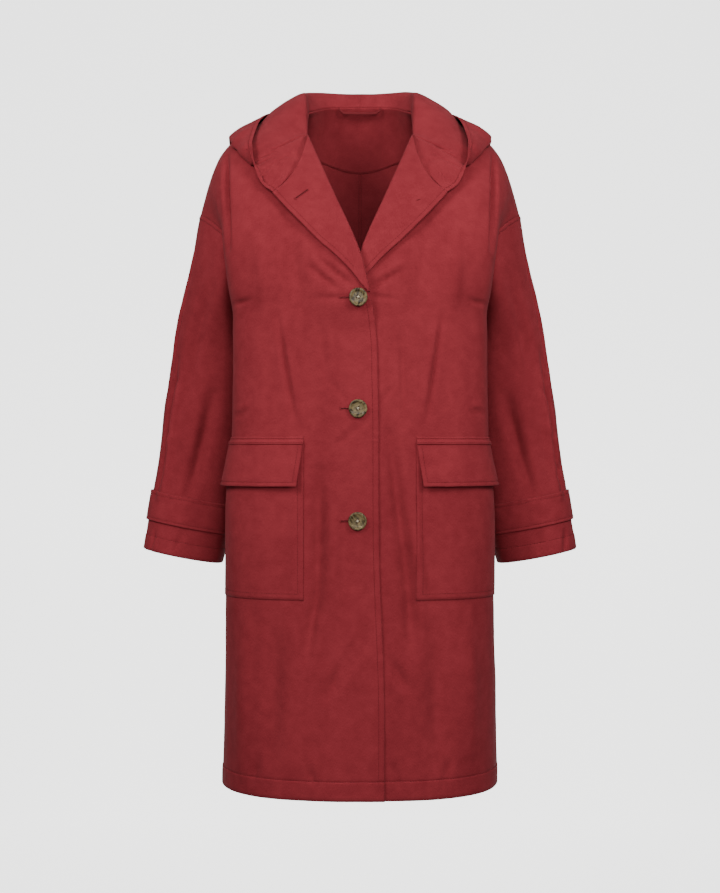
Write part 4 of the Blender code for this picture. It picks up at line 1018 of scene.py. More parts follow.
class Mesh:
    """Points, faces and weave coordinates gathered for one piece."""

    def __init__(self, name, side=1):
        self.name = name
        self.side = side
        self.points = []
        self.weave = []
        self.faces = []
        self.count = 0

    def add(self, points, weave=None):
        """Take in points and give back their numbers in the same grid."""
        self.points.append(mirrored(points.reshape(-1, 3), self.side))
        flat = np.zeros((points.size // 3, 2)) if weave is None else weave.reshape(-1, 2)
        self.weave.append(flat)
        index = self.count + np.arange(points.size // 3).reshape(points.shape[:-1])
        self.count += index.size
        return index

    def quads(self, index, flip=False):
        a, b = index[..., :-1, :-1].ravel(), index[..., :-1, 1:].ravel()
        c, d = index[..., 1:, 1:].ravel(), index[..., 1:, :-1].ravel()
        order = (a, d, c, b) if flip == (self.side < 0) else (a, b, c, d)
        self.faces += np.column_stack(order).tolist()

    def caps(self, rings):
        """One face over each ring of points."""
        rings = rings[..., ::-1] if self.side < 0 else rings
        self.faces += rings.reshape(-1, rings.shape[-1]).tolist()

    def shell(self, surface, wall, weave_from=0):
        """A wall of cloth about a surface, with its free edges rounded."""
        grid, out, flip = surface.grid, surface.normals, surface.flip
        half = np.broadcast_to(np.asarray(wall) / 2, grid.shape[:2])[..., None]
        run = distance_along(grid, 1)
        weave = np.stack((run - run[:, weave_from : weave_from + 1], distance_along(grid, 0)), axis=-1)
        if surface.closed:
            grid, out, weave, half = (part[:, :-1] for part in (grid, out, weave, half))
        front = self.add(grid + out * half, weave)
        back = self.add(grid - out * half, weave)
        if surface.closed:
            self.quads(np.concatenate((front, front[:, :1]), axis=1), flip=flip)
            self.quads(np.concatenate((back, back[:, :1]), axis=1), flip=not flip)
            for edge, inside, turned in ((0, 1, True), (-1, -2, False)):
                away = unit(grid[edge] - grid[inside]) * half[edge]
                middle = self.add(grid[edge] + away, weave[edge])
                strip = np.stack((front[edge], middle, back[edge]))
                strip = np.concatenate((strip, strip[:, :1]), axis=1)
                self.quads(strip, flip=turned != flip)
            return
        self.quads(front, flip=flip)
        self.quads(back, flip=not flip)
        away = np.zeros_like(grid)
        away[0] += unit(grid[0] - grid[1])
        away[-1] += unit(grid[-1] - grid[-2])
        away[:, 0] += unit(grid[:, 0] - grid[:, 1])
        away[:, -1] += unit(grid[:, -1] - grid[:, -2])
        rim = grid + away * half * EDGE_ROUND
        rows, columns = grid.shape[:2]
        loop = [(0, c) for c in range(columns - 1)]
        loop += [(r, columns - 1) for r in range(rows - 1)]
        loop += [(rows - 1, c) for c in range(columns - 1, 0, -1)]
        loop += [(r, 0) for r in range(rows - 1, 0, -1)]
        r, c = np.array(loop).T
        middle = self.add(rim[r, c], weave[r, c])
        strip = np.stack((front[r, c], middle, back[r, c]))
        self.quads(np.concatenate((strip, strip[:, :1]), axis=1), flip=not flip)

    def tubes(self, path, out, radius, sides, closed=False):
        """Round tubes along rows of points; radius is given for each point of a row."""
        if closed:
            ring = np.concatenate((path[..., -1:, :], path, path[..., :1, :]), axis=-2)
            run = unit(np.gradient(ring, axis=-2)[..., 1:-1, :])
        else:
            run = unit(np.gradient(path, axis=-2))
        beside = unit(np.cross(out, run))
        upward = np.cross(run, beside)
        turn = np.linspace(0.0, 2 * np.pi, sides, endpoint=False)
        radius = np.asarray(radius)[..., None, None]
        around = np.cos(turn)[:, None] * beside[..., None, :] + np.sin(turn)[:, None] * upward[..., None, :]
        index = self.add(path[..., None, :] + around * radius)
        whole = np.concatenate((index, index[..., :1]), axis=-1)
        if closed:
            whole = np.concatenate((whole, whole[..., :1, :]), axis=-2)
        self.quads(whole, flip=True)
        if not closed:
            self.caps(index[..., 0, ::-1])
            self.caps(index[..., -1, :])

    def stitch(self, points, out, length=0.0, gap=0.0):
        """A row of thread stitches that dive in and out along a line on the cloth."""
        length = length or STITCH_LENGTH
        pitch = length + (gap or STITCH_GAP)
        total = np.linalg.norm(np.diff(points, axis=0), axis=1).sum()
        starts = np.arange(int(total / pitch)) * pitch + gap / 2
        at = (starts[:, None] + np.array(STITCH_PLACES) * length).ravel()
        path = by_length(points, at).reshape(-1, len(STITCH_PLACES), 3)
        run = np.linalg.norm(np.diff(points, axis=0), axis=1)
        run = np.concatenate(([0.0], np.cumsum(run)))
        up = np.stack([np.interp(at, run, out[:, axis]) for axis in range(3)], axis=1)
        up = unit(up.reshape(path.shape))
        path = path + up * (np.array(STITCH_RISES) * THREAD_RADIUS)[:, None]
        radius = np.broadcast_to(np.array(STITCH_SWELLS) * THREAD_RADIUS, path.shape[:2])
        self.tubes(path, up, radius, THREAD_SIDES)

    def build(self, material, slot, replaces=()):
        mesh = bpy.data.meshes.new(self.name)
        mesh.from_pydata(np.concatenate(self.points).tolist(), [], self.faces)
        weave = np.concatenate(self.weave)
        layer = mesh.uv_layers.new(name="weave")
        corner = np.empty(len(mesh.loops), dtype=np.int32)
        mesh.loops.foreach_get("vertex_index", corner)
        layer.data.foreach_set("uv", weave[corner].astype(np.float32).ravel())
        mesh.shade_smooth()
        mesh.materials.append(material)
        piece = bpy.data.objects.new(self.name, mesh)
        bpy.context.scene.collection.objects.link(piece)
        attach(piece, "root")
        if replaces:
            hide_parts(*replaces)
        return piece


# ---- cloth pieces

def front_surface(front, name, upper):
    """A front below and beside its roll line, with its folds, hem and stitched edge."""
    last = len(front) - 1
    hem = last - HEM_DEPTH / (LOWER_LEVELS[-2] - LOWER_LEVELS[-1])
    step = np.linalg.norm(front[-3, 1] - front[-3, 0])
    rows = places(last, PANEL_STEPS[0], ((hem, LOWER_LEVELS[-2] - LOWER_LEVELS[-1]),))
    wide = np.linalg.norm(front[UPPER_ROWS // 2, -1] - front[UPPER_ROWS // 2, -2])
    at_side = FRONT_COLUMNS - ARMHOLE_STITCH / wide
    columns = places(FRONT_COLUMNS, PANEL_STEPS[1], ((EDGE_STITCH / step, step), (at_side, wide)))
    cloth = finely(front, rows, columns)
    spots = cloth.grid[..., [0, 2]]
    field = fold_field(spots, FRONT_FOLDS[name]) + uneven(cloth.grid, FRONT_SEEDS[name])
    height = spots[..., 1]
    side = cloth.edge_distance(1, last=True)
    free = smooth(side / SEAM_FADE) * smooth(cloth.edge_distance(0) / SEAM_FADE)
    rolled = smooth((height - ROLL_LINE[-1][2]) / SEAM_FADE)
    free *= 1 - rolled * (1 - smooth(cloth.edge_distance(1) / SEAM_FADE))
    field *= free
    edge = np.interp(-height, [-z for _, z in LAPEL_EDGE], [x for x, _ in LAPEL_EDGE])
    covered = smooth((edge + COVER_EASE - spots[..., 0]) / COVER_EASE) * rolled
    field = np.where(covered > 0, np.minimum(field, UNDER_LAPEL * covered + field * (1 - covered)), field)
    lap = smooth((LAP_EASE_X - spots[..., 0]) / (LAP_EASE_X - LAP_FULL_X))
    if upper:
        opened = smooth((height + 0.350) / 0.040)
        room = UNDER_LAPEL + (LAP_BREAK_LIFT - LAP_LIFT) * opened
        field = np.maximum(field, -room - (1 - lap))
    else:
        field = np.minimum(field, UNDER_LAPEL + (1 - lap))
    if upper:
        field += groove(cloth.edge_distance(1), EDGE_STITCH, FAINT_GROOVE) * (1 - rolled)
        field += puckers(cloth.edge_distance(1), 0.011, -height, 1.3) * (1 - rolled)
    low = cloth.edge_distance(0, last=True)
    field += groove(low, HEM_DEPTH)
    field += puckers(low - HEM_DEPTH * 0.7, 0.013, cloth.edge_distance(1), FRONT_SEEDS[name])
    field += puckers(side, 0.012, -height, FRONT_SEEDS[name] + 1) * smooth(-height / 0.3)
    field += armhole_step(cloth, side)
    cloth.move(field)
    return cloth, hem


def armhole_step(cloth, side):
    """The body's edge over the armhole seam, lifted by the turnings that lie beneath it."""
    low = np.clip((UPPER_ROWS - cloth.rows) * 1.5, 0.0, 1.0)[:, None]
    lifted = ARMHOLE_LIFT * smooth((ARMHOLE_STITCH * 1.25 - side) / ARMHOLE_STITCH)
    return (lifted + groove(side, ARMHOLE_STITCH)) * low


def back_surface(back, name):
    last = len(back) - 1
    hem = last - HEM_DEPTH / (LOWER_LEVELS[-2] - LOWER_LEVELS[-1])
    rows = places(last, BACK_STEPS[0], ((hem, LOWER_LEVELS[-2] - LOWER_LEVELS[-1]),))
    columns = places(NECK_COLUMNS + FRONT_COLUMNS, BACK_STEPS[1])
    cloth = finely(back, rows, columns, flip=True)
    spots = cloth.grid[..., [0, 2]]
    field = fold_field(spots, BACK_FOLDS[name]) + uneven(cloth.grid, BACK_SEEDS[name])
    side = cloth.edge_distance(1, last=True)
    middle = cloth.edge_distance(1)
    field *= smooth(side / SEAM_FADE) * smooth(cloth.edge_distance(0) / SEAM_FADE)
    field *= smooth(middle / SEAM_FADE)
    low = cloth.edge_distance(0, last=True)
    field += groove(low, HEM_DEPTH)
    field += puckers(low - HEM_DEPTH * 0.7, 0.013, middle, BACK_SEEDS[name])
    field += puckers(middle, 0.010, -spots[..., 1], 2.0) * smooth(cloth.edge_distance(0) / SEAM_FADE)
    field += armhole_step(cloth, side)
    cloth.move(field)
    return cloth


def sleeve_surface(rings, name):
    last = len(rings) - 1
    span = SLEEVE_LEVELS[-2] - SLEEVE_LEVELS[-1]
    hem = last - CUFF_HEM_DEPTH / span
    rows = places(last, SLEEVE_STEPS[0], ((hem, span),))
    columns = places(rings.shape[1], SLEEVE_STEPS[1])
    cloth = finely(rings, rows, columns, closed=True, flip=True)
    share = cloth.columns / cloth.columns[-1]
    around = np.broadcast_to(share * SLEEVE_GIRTH, cloth.grid.shape[:2])
    spots = np.stack((around, cloth.grid[..., 2]), axis=-1)
    folds = []
    for shift in (-SLEEVE_GIRTH, 0.0, SLEEVE_GIRTH):
        for fold in SLEEVE_FOLDS[name]:
            x, x_end = fold.x * SLEEVE_GIRTH + shift, fold.x_end * SLEEVE_GIRTH + shift
            folds.append(fold._replace(x=x, x_end=x_end))
    field = fold_field(spots, folds)
    wrap = smooth(np.minimum(share, 1 - share) / 0.02)
    field += uneven(cloth.grid, SLEEVE_SEEDS[name])
    inner = np.exp(-(((share - 0.5) / 0.10) ** 2))
    field = np.where(field > 0, field * (1 - 0.8 * inner), field)
    field *= smooth(cloth.edge_distance(0) / SEAM_FADE)
    low = cloth.edge_distance(0, last=True)
    run = cloth.edge_distance(1)
    field += groove(low, CUFF_HEM_DEPTH, FAINT_GROOVE)
    field += puckers(low - CUFF_HEM_DEPTH * 0.7, 0.010, run, SLEEVE_SEEDS[name]) * wrap
    field += puckers(cloth.edge_distance(0), 0.014, run, 0.7) * wrap * smooth(cloth.edge_distance(0) / 0.004)
    cloth.move(field)
    cloth.grid[:, -1] = cloth.grid[:, 0]
    cloth.turn()
    return cloth


def lapel_surfaces(strip, front):
    """The turned-out lapel with its rounded roll, and the facing that covers it."""
    count = LAST_LAPEL_ROW - NECK_ROWS
    rows = places(count, LAPEL_STEPS[0])
    columns = places(LAPEL_COLUMNS, LAPEL_STEPS[1])
    panel = front[NECK_ROWS : LAST_LAPEL_ROW + 1]
    knots = np.arange(count + 1)
    roll = spline(knots, panel[:, 0], rows)
    inside = spline(knots, panel[:, 1], rows)
    flat = refine(strip, rows, columns, False)
    away = unit(roll - inside)
    across = flat[:, 0] - roll
    angle = np.linspace(0.0, np.pi, ROLL_STEPS + 1)[:, None, None]
    bend = roll + across * (1 - np.cos(angle)) / 2 + away * ROLL_LIFT / 2 * np.sin(angle)
    cloth = np.concatenate((bend.swapaxes(0, 1), flat[:, 1:]), axis=1)
    lapel = Surface(cloth, rows, np.arange(cloth.shape[1]), flip=True)
    back_in = roll - away * FACING_RETURN
    inner = np.linspace(0.0, 1.0, 4)[:-1, None, None]
    returned = (back_in + (roll - back_in) * inner).swapaxes(0, 1)
    whole = np.concatenate((returned, cloth), axis=1)
    base = Surface(whole, rows, np.arange(whole.shape[1]))
    step = (WALL + FACING_WALL) / 2 + LAYER_GAP
    grid = base.grid + base.normals * step
    beyond = unit(grid[:, -1] - grid[:, -2])
    over = []
    for outward, drop in FACING_WRAP:
        over.append(grid[:, -1] + beyond * outward - base.normals[:, -1] * drop)
    grid = np.concatenate((grid, np.stack(over, axis=1)), axis=1)
    grid[0] += unit(grid[1] - grid[0]) * FACING_PULL
    facing = Surface(grid, rows, np.arange(grid.shape[1]))
    return lapel, facing


def hood_surface(hood, name):
    rows = places(len(hood) - 1, HOOD_FINE_STEPS[0])
    columns = places(hood.shape[1] - 1, HOOD_FINE_STEPS[1])
    cloth = finely(hood, rows, columns)
    share = cloth.columns / cloth.columns[-1]
    down = cloth.rows / cloth.rows[-1]
    spots = np.stack(np.broadcast_arrays(share[None] * HOOD_SPAN, down[:, None] * HOOD_SPAN), axis=-1)
    folds = [Fold(*(v * HOOD_SPAN for v in fold[:4]), *fold[4:]) for fold in HOOD_FOLDS[name]]
    field = fold_field(spots, folds) + HOOD_ROUGHNESS * uneven(cloth.grid, HOOD_SEEDS[name])
    low = cloth.edge_distance(0, last=True)
    high = cloth.edge_distance(0)
    middle = cloth.edge_distance(1, last=True)
    for distance in (high, middle, cloth.edge_distance(1)):
        field *= smooth(distance / SEAM_FADE)
    field += groove(low, RIM_STITCH)
    field += puckers(low, 0.009, cloth.edge_distance(1), HOOD_SEEDS[name])
    cloth.move(field)
    return cloth


def thick_hem(cloth, depth):
    """The wall of a panel, doubled below its hem's stitches."""
    low = cloth.edge_distance(0, last=True)
    return WALL + HEM_STEP * smooth((depth - low) / 0.002 + 0.5)


def laid(panel, rows, columns, lift, seed, rough=1.0):
    """Cloth of a trim piece that lies on a panel's own folds."""
    points, out = panel.at(rows, columns, lift)
    waves = uneven(points, seed) * rough
    return Surface(points + out * waves[..., None] * TRIM_WAVES, rows[:, 0], columns[0], flip=panel.flip)


# ---- trims

def pocket_set(front, name, thread):
    """Pocket, band and flap of one side, laid on the front's folds, with their stitches."""
    step = (WALL + TRIM_WALL) / 2 + LAYER_GAP
    first, last = EDGE_COLUMNS, FRONT_COLUMNS
    band_top, flap_top = row_of(BAND_TOP_Z), row_of(FLAP_TOP_Z)
    flap_bottom, bottom = row_of(FLAP_BOTTOM_Z), row_of(POCKET_BOTTOM_Z)
    columns = np.linspace(first, last, POCKET_COLUMNS)[None]
    across = (columns - first) / (last - first)
    made = {}

    rows = np.linspace(flap_top, bottom, POCKET_ROWS)[:, None]
    down = (rows - flap_top) / (bottom - flap_top)
    bulge = POCKET_BULGE * np.sin(np.pi * np.clip(across, 0, 1)) * np.sin(np.pi * down**0.8)
    pocket = laid(front, rows, columns, step + bulge, TRIM_SEEDS[name])
    inner = pocket.edge_distance(1)
    low = pocket.edge_distance(0, last=True)
    field = groove(low, POCKET_STITCH) + groove(inner, POCKET_STITCH)
    field += puckers(low, 0.010, inner, 2.7) + puckers(inner, 0.010, low, 4.1)
    pocket.move(field)
    made["pocket"] = pocket

    rows = np.linspace(band_top, flap_top, BAND_ROWS)[:, None]
    down = (rows - band_top) / (flap_top - band_top)
    over = rows + BAND_OVERHANG * down**2
    points, out = front.at(np.broadcast_to(over, (BAND_ROWS, POCKET_COLUMNS)),
                           np.broadcast_to(columns, (BAND_ROWS, POCKET_COLUMNS)),
                           step + (step + BAND_STAND_OFF) * down**2 + 0.0 * columns)
    points = points + out * (uneven(points, TRIM_SEEDS[name] + 1) * 0.15)[..., None]
    band = Surface(points, rows[:, 0], columns[0])
    made["pocket_band"] = band

    rows = np.linspace(flap_top, flap_bottom, FLAP_ROWS)[:, None]
    fall = (rows - flap_top) / (flap_bottom - flap_top)
    slanted = first + FLAP_SLANT * fall + (last - first - FLAP_SLANT * fall) * across
    curl = FLAP_CURL * np.exp(-(((1 - across) / 0.16) ** 2)) * fall**2
    lift = 2 * step + FLAP_FLARE * fall**1.3 + curl
    rows_all = np.broadcast_to(rows, slanted.shape)
    points, out = front.at(rows_all, slanted, lift)
    waves = uneven(points, TRIM_SEEDS[name] + 2)
    waves += FLAP_WAVE * np.sin(across * 9.0 + FRONT_SEEDS[name]) * fall
    flap = Surface(points + out * waves[..., None], rows[:, 0], columns[0])
    low = flap.edge_distance(0, last=True)
    inner = flap.edge_distance(1)
    flap.move(groove(low, FLAP_STITCH) + groove(inner, FLAP_STITCH) + puckers(low, 0.008, inner, 1.1))
    made["pocket_flap"] = flap

    edge_line(thread, pocket, inset=POCKET_STITCH, edges=("first", "low"))
    edge_line(thread, flap, inset=FLAP_STITCH, edges=("first", "low"))
    edge_line(thread, band, inset=BAND_STITCH, edges=("top",))
    edge_line(thread, band, inset=BAND_STITCH, edges=("low",))
    return made


def edge_line(thread, cloth, inset, edges, wall=TRIM_WALL):
    """Stitches at a distance in from some edges of a piece, turning square at its corners."""
    n, m = cloth.grid.shape[:2]
    run = distance_along(cloth.grid, 1).mean(axis=0)
    fall = distance_along(cloth.grid, 0).mean(axis=1)
    rows, columns = np.arange(n), np.arange(m)
    left = np.interp(inset, run, columns)
    low = np.interp(fall[-1] - inset, fall, rows)
    top = np.interp(inset, fall, rows)
    if edges == ("first", "low"):
        r = np.concatenate((np.linspace(0, low, n), np.full(m, low)[1:]))
        c = np.concatenate((np.full(n, left), np.linspace(left, m - 1, m)[1:]))
    elif edges == ("top",):
        r, c = np.full(m, top), columns
    else:
        r, c = np.full(m, low), columns
    out = unit(sampled(cloth.normals, r, c))
    thread.stitch(sampled(cloth.grid, r, c) + out * wall / 2, out)


def strap_surface(sleeve):
    """A band round the sleeve, standing off most at its outer side."""
    top = SLEEVE_CAP_ROWS + SLEEVE_LEVELS.index(STRAP_TOP_Z)
    rows = top + np.linspace(0.0, 1.0, STRAP_ROWS)[:, None]
    columns = sleeve.columns[None]
    outer_side = 0.5 + 0.5 * np.cos(columns / columns[0, -1] * 2 * math.pi)
    step = (WALL + TRIM_WALL) / 2 + LAYER_GAP + STRAP_EASE
    points, _ = sleeve.at(rows, columns, step + STRAP_STAND_OFF * outer_side + 0.0 * rows)
    strap = Surface(points, rows[:, 0], columns[0], closed=True, flip=True)
    high, low = strap.edge_distance(0), strap.edge_distance(0, last=True)
    run = strap.edge_distance(1)
    wrap = smooth(np.minimum(run, run[:, -1:] - run) / 0.006)
    field = groove(high, TRIM_STITCH) + groove(low, TRIM_STITCH)
    field += (puckers(high, 0.007, run, 2.2) + puckers(low, 0.007, run, 5.2)) * wrap
    strap.move(field)
    strap.grid[:, -1] = strap.grid[:, 0]
    strap.turn()
    return strap


def ring_line(thread, cloth, inset, wall, low=True):
    fall = distance_along(cloth.grid, 0).mean(axis=1)
    at = fall[-1] - inset if low else inset
    row = np.interp(at, fall, np.arange(len(fall)))
    columns = np.arange(cloth.grid.shape[1])
    rows = np.full(len(columns), row)
    out = unit(sampled(cloth.normals, rows, columns))
    thread.stitch(sampled(cloth.grid, rows, columns) + out * wall / 2, out)


def racetrack(start, end, width, count=40):
    """A closed loop of flat points round a slit from start to end."""
    start, end = np.array(start), np.array(end)
    run = unit((end - start)[None])[0]
    across = np.array([-run[1], run[0]])
    half = count // 2
    turn = np.linspace(-np.pi / 2, np.pi / 2, half // 2)
    head = end + width * (np.cos(turn)[:, None] * run + np.sin(turn)[:, None] * across)
    tail = start - width * (np.cos(turn)[:, None] * run + np.sin(turn)[:, None] * across)
    far = head[-1] + (tail[0] - head[-1]) * np.linspace(0, 1, half)[1:-1, None]
    near = tail[-1] + (head[0] - tail[-1]) * np.linspace(0, 1, half)[1:-1, None]
    return np.concatenate((head, far, tail, near))


def buttonhole(mesh, dark, panel, start, end, width=HOLE_WIDTH, bar=True):
    """Tight thread round a slit in the cloth, a near-black tube along the slit as painted shade of its gap,
    and a bar across its outer end.
    """
    loop = racetrack(start, end, width)
    points = np.array([on_front(panel, x, z, HOLE_RISE) for x, z in loop])
    out = np.array([hit_normal(panel, x, z) for x, z in loop])
    count = np.arange(len(points) * 3) / 3
    index = np.arange(len(points) + 1)
    points, out = (
        np.stack([np.interp(count, index, np.append(v[:, k], v[0, k])) for k in range(3)], axis=1)
        for v in (points, out)
    )
    out = unit(out)
    ridged = HOLE_THREAD * (1 + 0.12 * np.cos(np.arange(len(count)) * np.pi))
    mesh.tubes(points, out, ridged, 6, closed=True)
    # Painted shade: a near-black tube along the slit stands for the shaded gap
    t = np.linspace(0.0, 1.0, 16)[:, None]
    line = np.array(start) * (1 - t) + np.array(end) * t
    slit = np.array([on_front(panel, x, z, HOLE_RISE * 0.75) for x, z in line])
    up = np.array([hit_normal(panel, x, z) for x, z in line])
    dark.tubes(slit, up, np.full(len(slit), SLIT_SHADE_RADIUS), 6)
    if bar:
        run = unit((np.array(end) - np.array(start))[None])[0]
        across = np.array([-run[1], run[0]]) * (width + HOLE_THREAD)
        outer = np.array(start) - run * width
        spots = [outer + across * k for k in np.linspace(-1.0, 1.0, 9)]
        points = np.array([on_front(panel, x, z, HOLE_RISE * 1.6) for x, z in spots])
        out = np.array([hit_normal(panel, x, z) for x, z in spots])
        mesh.tubes(points, out, np.full(len(points), HOLE_THREAD), 6)


def hit_normal(body, x, z):
    _, normal, _, _ = body.ray_cast(Vector((x, -1.0, z)), Vector((0.0, 1.0, 0.0)))
    return np.array(normal if normal.y < 0 else -normal)


# ---- buttons

def button_mesh(name, material):
    """A turned four-hole button about the origin, its face towards +Z."""
    turn = np.linspace(0.0, 2 * math.pi, BUTTON_FINE_SIDES, endpoint=False)
    ring = np.column_stack((np.cos(turn), np.sin(turn)))
    hole_turn = np.linspace(0.0, 2 * math.pi, HOLE_SIDES, endpoint=False)
    hole = np.column_stack((np.cos(hole_turn), np.sin(hole_turn))) * BUTTON_HOLE_RADIUS
    centres = BUTTON_HOLE_OFFSET * np.array([(1, 1), (-1, 1), (-1, -1), (1, -1)]) / math.sqrt(2)
    top, base = BUTTON_FINE_PROFILE[-1], BUTTON_FINE_PROFILE[0]
    points, faces = [], []
    rings = []
    for radius, height in BUTTON_FINE_PROFILE:
        rings.append(len(points) + np.arange(BUTTON_FINE_SIDES))
        points += [(x * radius, y * radius, height) for x, y in ring]
    for lower, upper in zip(rings[:-1], rings[1:]):
        after_low, after_up = np.roll(lower, -1), np.roll(upper, -1)
        faces += np.column_stack((lower, after_low, after_up, upper)).tolist()
    holes = {}
    for level, (radius, height) in (("base", base), ("top", top)):
        holes[level] = []
        for centre in centres:
            holes[level].append(len(points) + np.arange(HOLE_SIDES))
            points += [(x, y, height) for x, y in hole + centre]
    for level, outer in (("base", rings[0]), ("top", rings[-1])):
        loops = [outer.tolist()] + [h.tolist()[::-1] for h in holes[level]]
        flat = [[Vector(points[i]) for i in loop] for loop in loops]
        order = [i for loop in loops for i in loop]
        for triangle in tessellate_polygon(flat):
            face = [order[i] for i in triangle]
            a, b, c = (np.array(points[i][:2]) for i in face)
            up = np.cross(b - a, c - a) > 0
            faces.append(face if up == (level == "top") else face[::-1])
    for low, high in zip(holes["base"], holes["top"]):
        faces += np.column_stack((low, high, np.roll(high, -1), np.roll(low, -1))).tolist()
    mesh = bpy.data.meshes.new(name)
    mesh.from_pydata(points, [], faces)
    mesh.shade_smooth()
    mesh.set_sharp_from_angle(angle=math.radians(38))
    mesh.materials.append(material)
    return mesh


def button(number, place, panel, horn, cream):
    """A horn-like button on the upper front, sewn on with crossed thread."""
    x, z = place
    turn = np.linspace(0.0, 2 * math.pi, 16, endpoint=False)
    radius = BUTTON_FINE_PROFILE[0][0]
    beneath = [on_front(panel, x + radius * math.cos(a), z + radius * math.sin(a), 0.0) for a in turn]
    seat = (-x, min(point[1] for point in beneath) - WALL / 2 - BUTTON_SHANK, z)
    name = f"button_{number}_horn"
    piece = bpy.data.objects.new(name, button_mesh(name, horn))
    bpy.context.scene.collection.objects.link(piece)
    piece.location = seat
    piece.rotation_euler = (math.pi / 2, BUTTON_TURNS[number - 1], 0.0)
    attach(piece, "root")
    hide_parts(f"button_{number}")
    threads = Mesh(f"button_{number}_thread")
    height = BUTTON_FINE_PROFILE[-1][1]
    for angle in (math.pi / 4, 3 * math.pi / 4):
        angle += BUTTON_TURNS[number - 1]
        run = np.array([math.cos(angle), 0.0, math.sin(angle)])
        across = np.array([-math.sin(angle), 0.0, math.cos(angle)])
        for strand in (-1, 0, 1):
            t = np.linspace(-1.0, 1.0, 9)
            out = np.broadcast_to(np.array([0.0, -1.0, 0.0]), (9, 3))
            rise = height + CROSS_RISE * (1 - t**2) - CROSS_DIVE * t**8 + 0.0001 * (angle > 2)
            spot = np.array(seat) + run * (t * BUTTON_HOLE_OFFSET)[:, None] + across * strand * CROSS_STRAND
            threads.tubes(spot + out * rise[:, None], out, np.full(9, CROSS_STRAND * 0.6), 6)
    depth = np.linspace(-0.0008, BUTTON_SHANK + 0.0006, 4)[:, None]
    shank = np.array(seat) + np.array([0.0, 1.0, 0.0]) * depth
    side = np.broadcast_to(np.array([1.0, 0.0, 0.0]), (4, 3))
    threads.tubes(shank, side, np.full(4, SHANK_RADIUS), 10)
    threads.build(cream, "loop")


def loop_surface():
    path = np.array(LOOP_PATH)
    path = np.concatenate((mirrored(path, -1), path[-2::-1]))
    steps = np.linalg.norm(np.diff(path, axis=0), axis=1).sum()
    path = by_length(path, np.linspace(0.0, steps, 61))
    path[1:-1] = (path[:-2] + 2 * path[1:-1] + path[2:]) / 4
    arch = np.abs(path[:, 0]) / LOOP_PATH[0][0]
    path[:, 1] -= LOOP_STAND * (1 - arch**4)
    down = np.array([0.0, 0.0, -1.0])
    share = np.linspace(0.0, 1.0, 5)[:, None, None]
    grid = path[None] + down * LOOP_WIDTH * share
    grid[..., 1] -= LOOP_ROUND * np.sin(np.pi * share[..., 0])
    return Surface(grid, np.arange(5), np.arange(61))


# ---- materials

def node(nodes, kind, **inputs):
    """A shader node with its named inputs set or linked."""
    made = nodes.nodes.new(kind)
    for name, value in inputs.items():
        socket = made.inputs[name.replace("_", " ")]
        if isinstance(value, bpy.types.NodeSocket):
            nodes.links.new(value, socket)
        else:
            socket.default_value = value
    return made


def new_material(name, **values):
    material = bpy.data.materials.new(name)
    material.use_nodes = True
    shader = material.node_tree.nodes["Principled BSDF"]
    for key, value in values.items():
        shader.inputs[key.replace("_", " ")].default_value = value
    return material, material.node_tree, shader


def ramp(nodes, factor, stops):
    made = nodes.nodes.new("ShaderNodeValToRGB")
    nodes.links.new(factor, made.inputs["Fac"])
    elements = made.color_ramp.elements
    while len(elements) < len(stops):
        elements.new(0.5)
    for element, (position, colour) in zip(elements, stops):
        element.position = position
        element.color = (*colour, 1.0)
    return made.outputs["Color"]


def mix(nodes, factor, one, other, kind="MIX"):
    made = nodes.nodes.new("ShaderNodeMix")
    made.data_type = "RGBA"
    made.blend_type = kind
    for socket, value in ((made.inputs[0], factor), (made.inputs[6], one), (made.inputs[7], other)):
        if isinstance(value, bpy.types.NodeSocket):
            nodes.links.new(value, socket)
        else:
            socket.default_value = value
    return made.outputs[2]


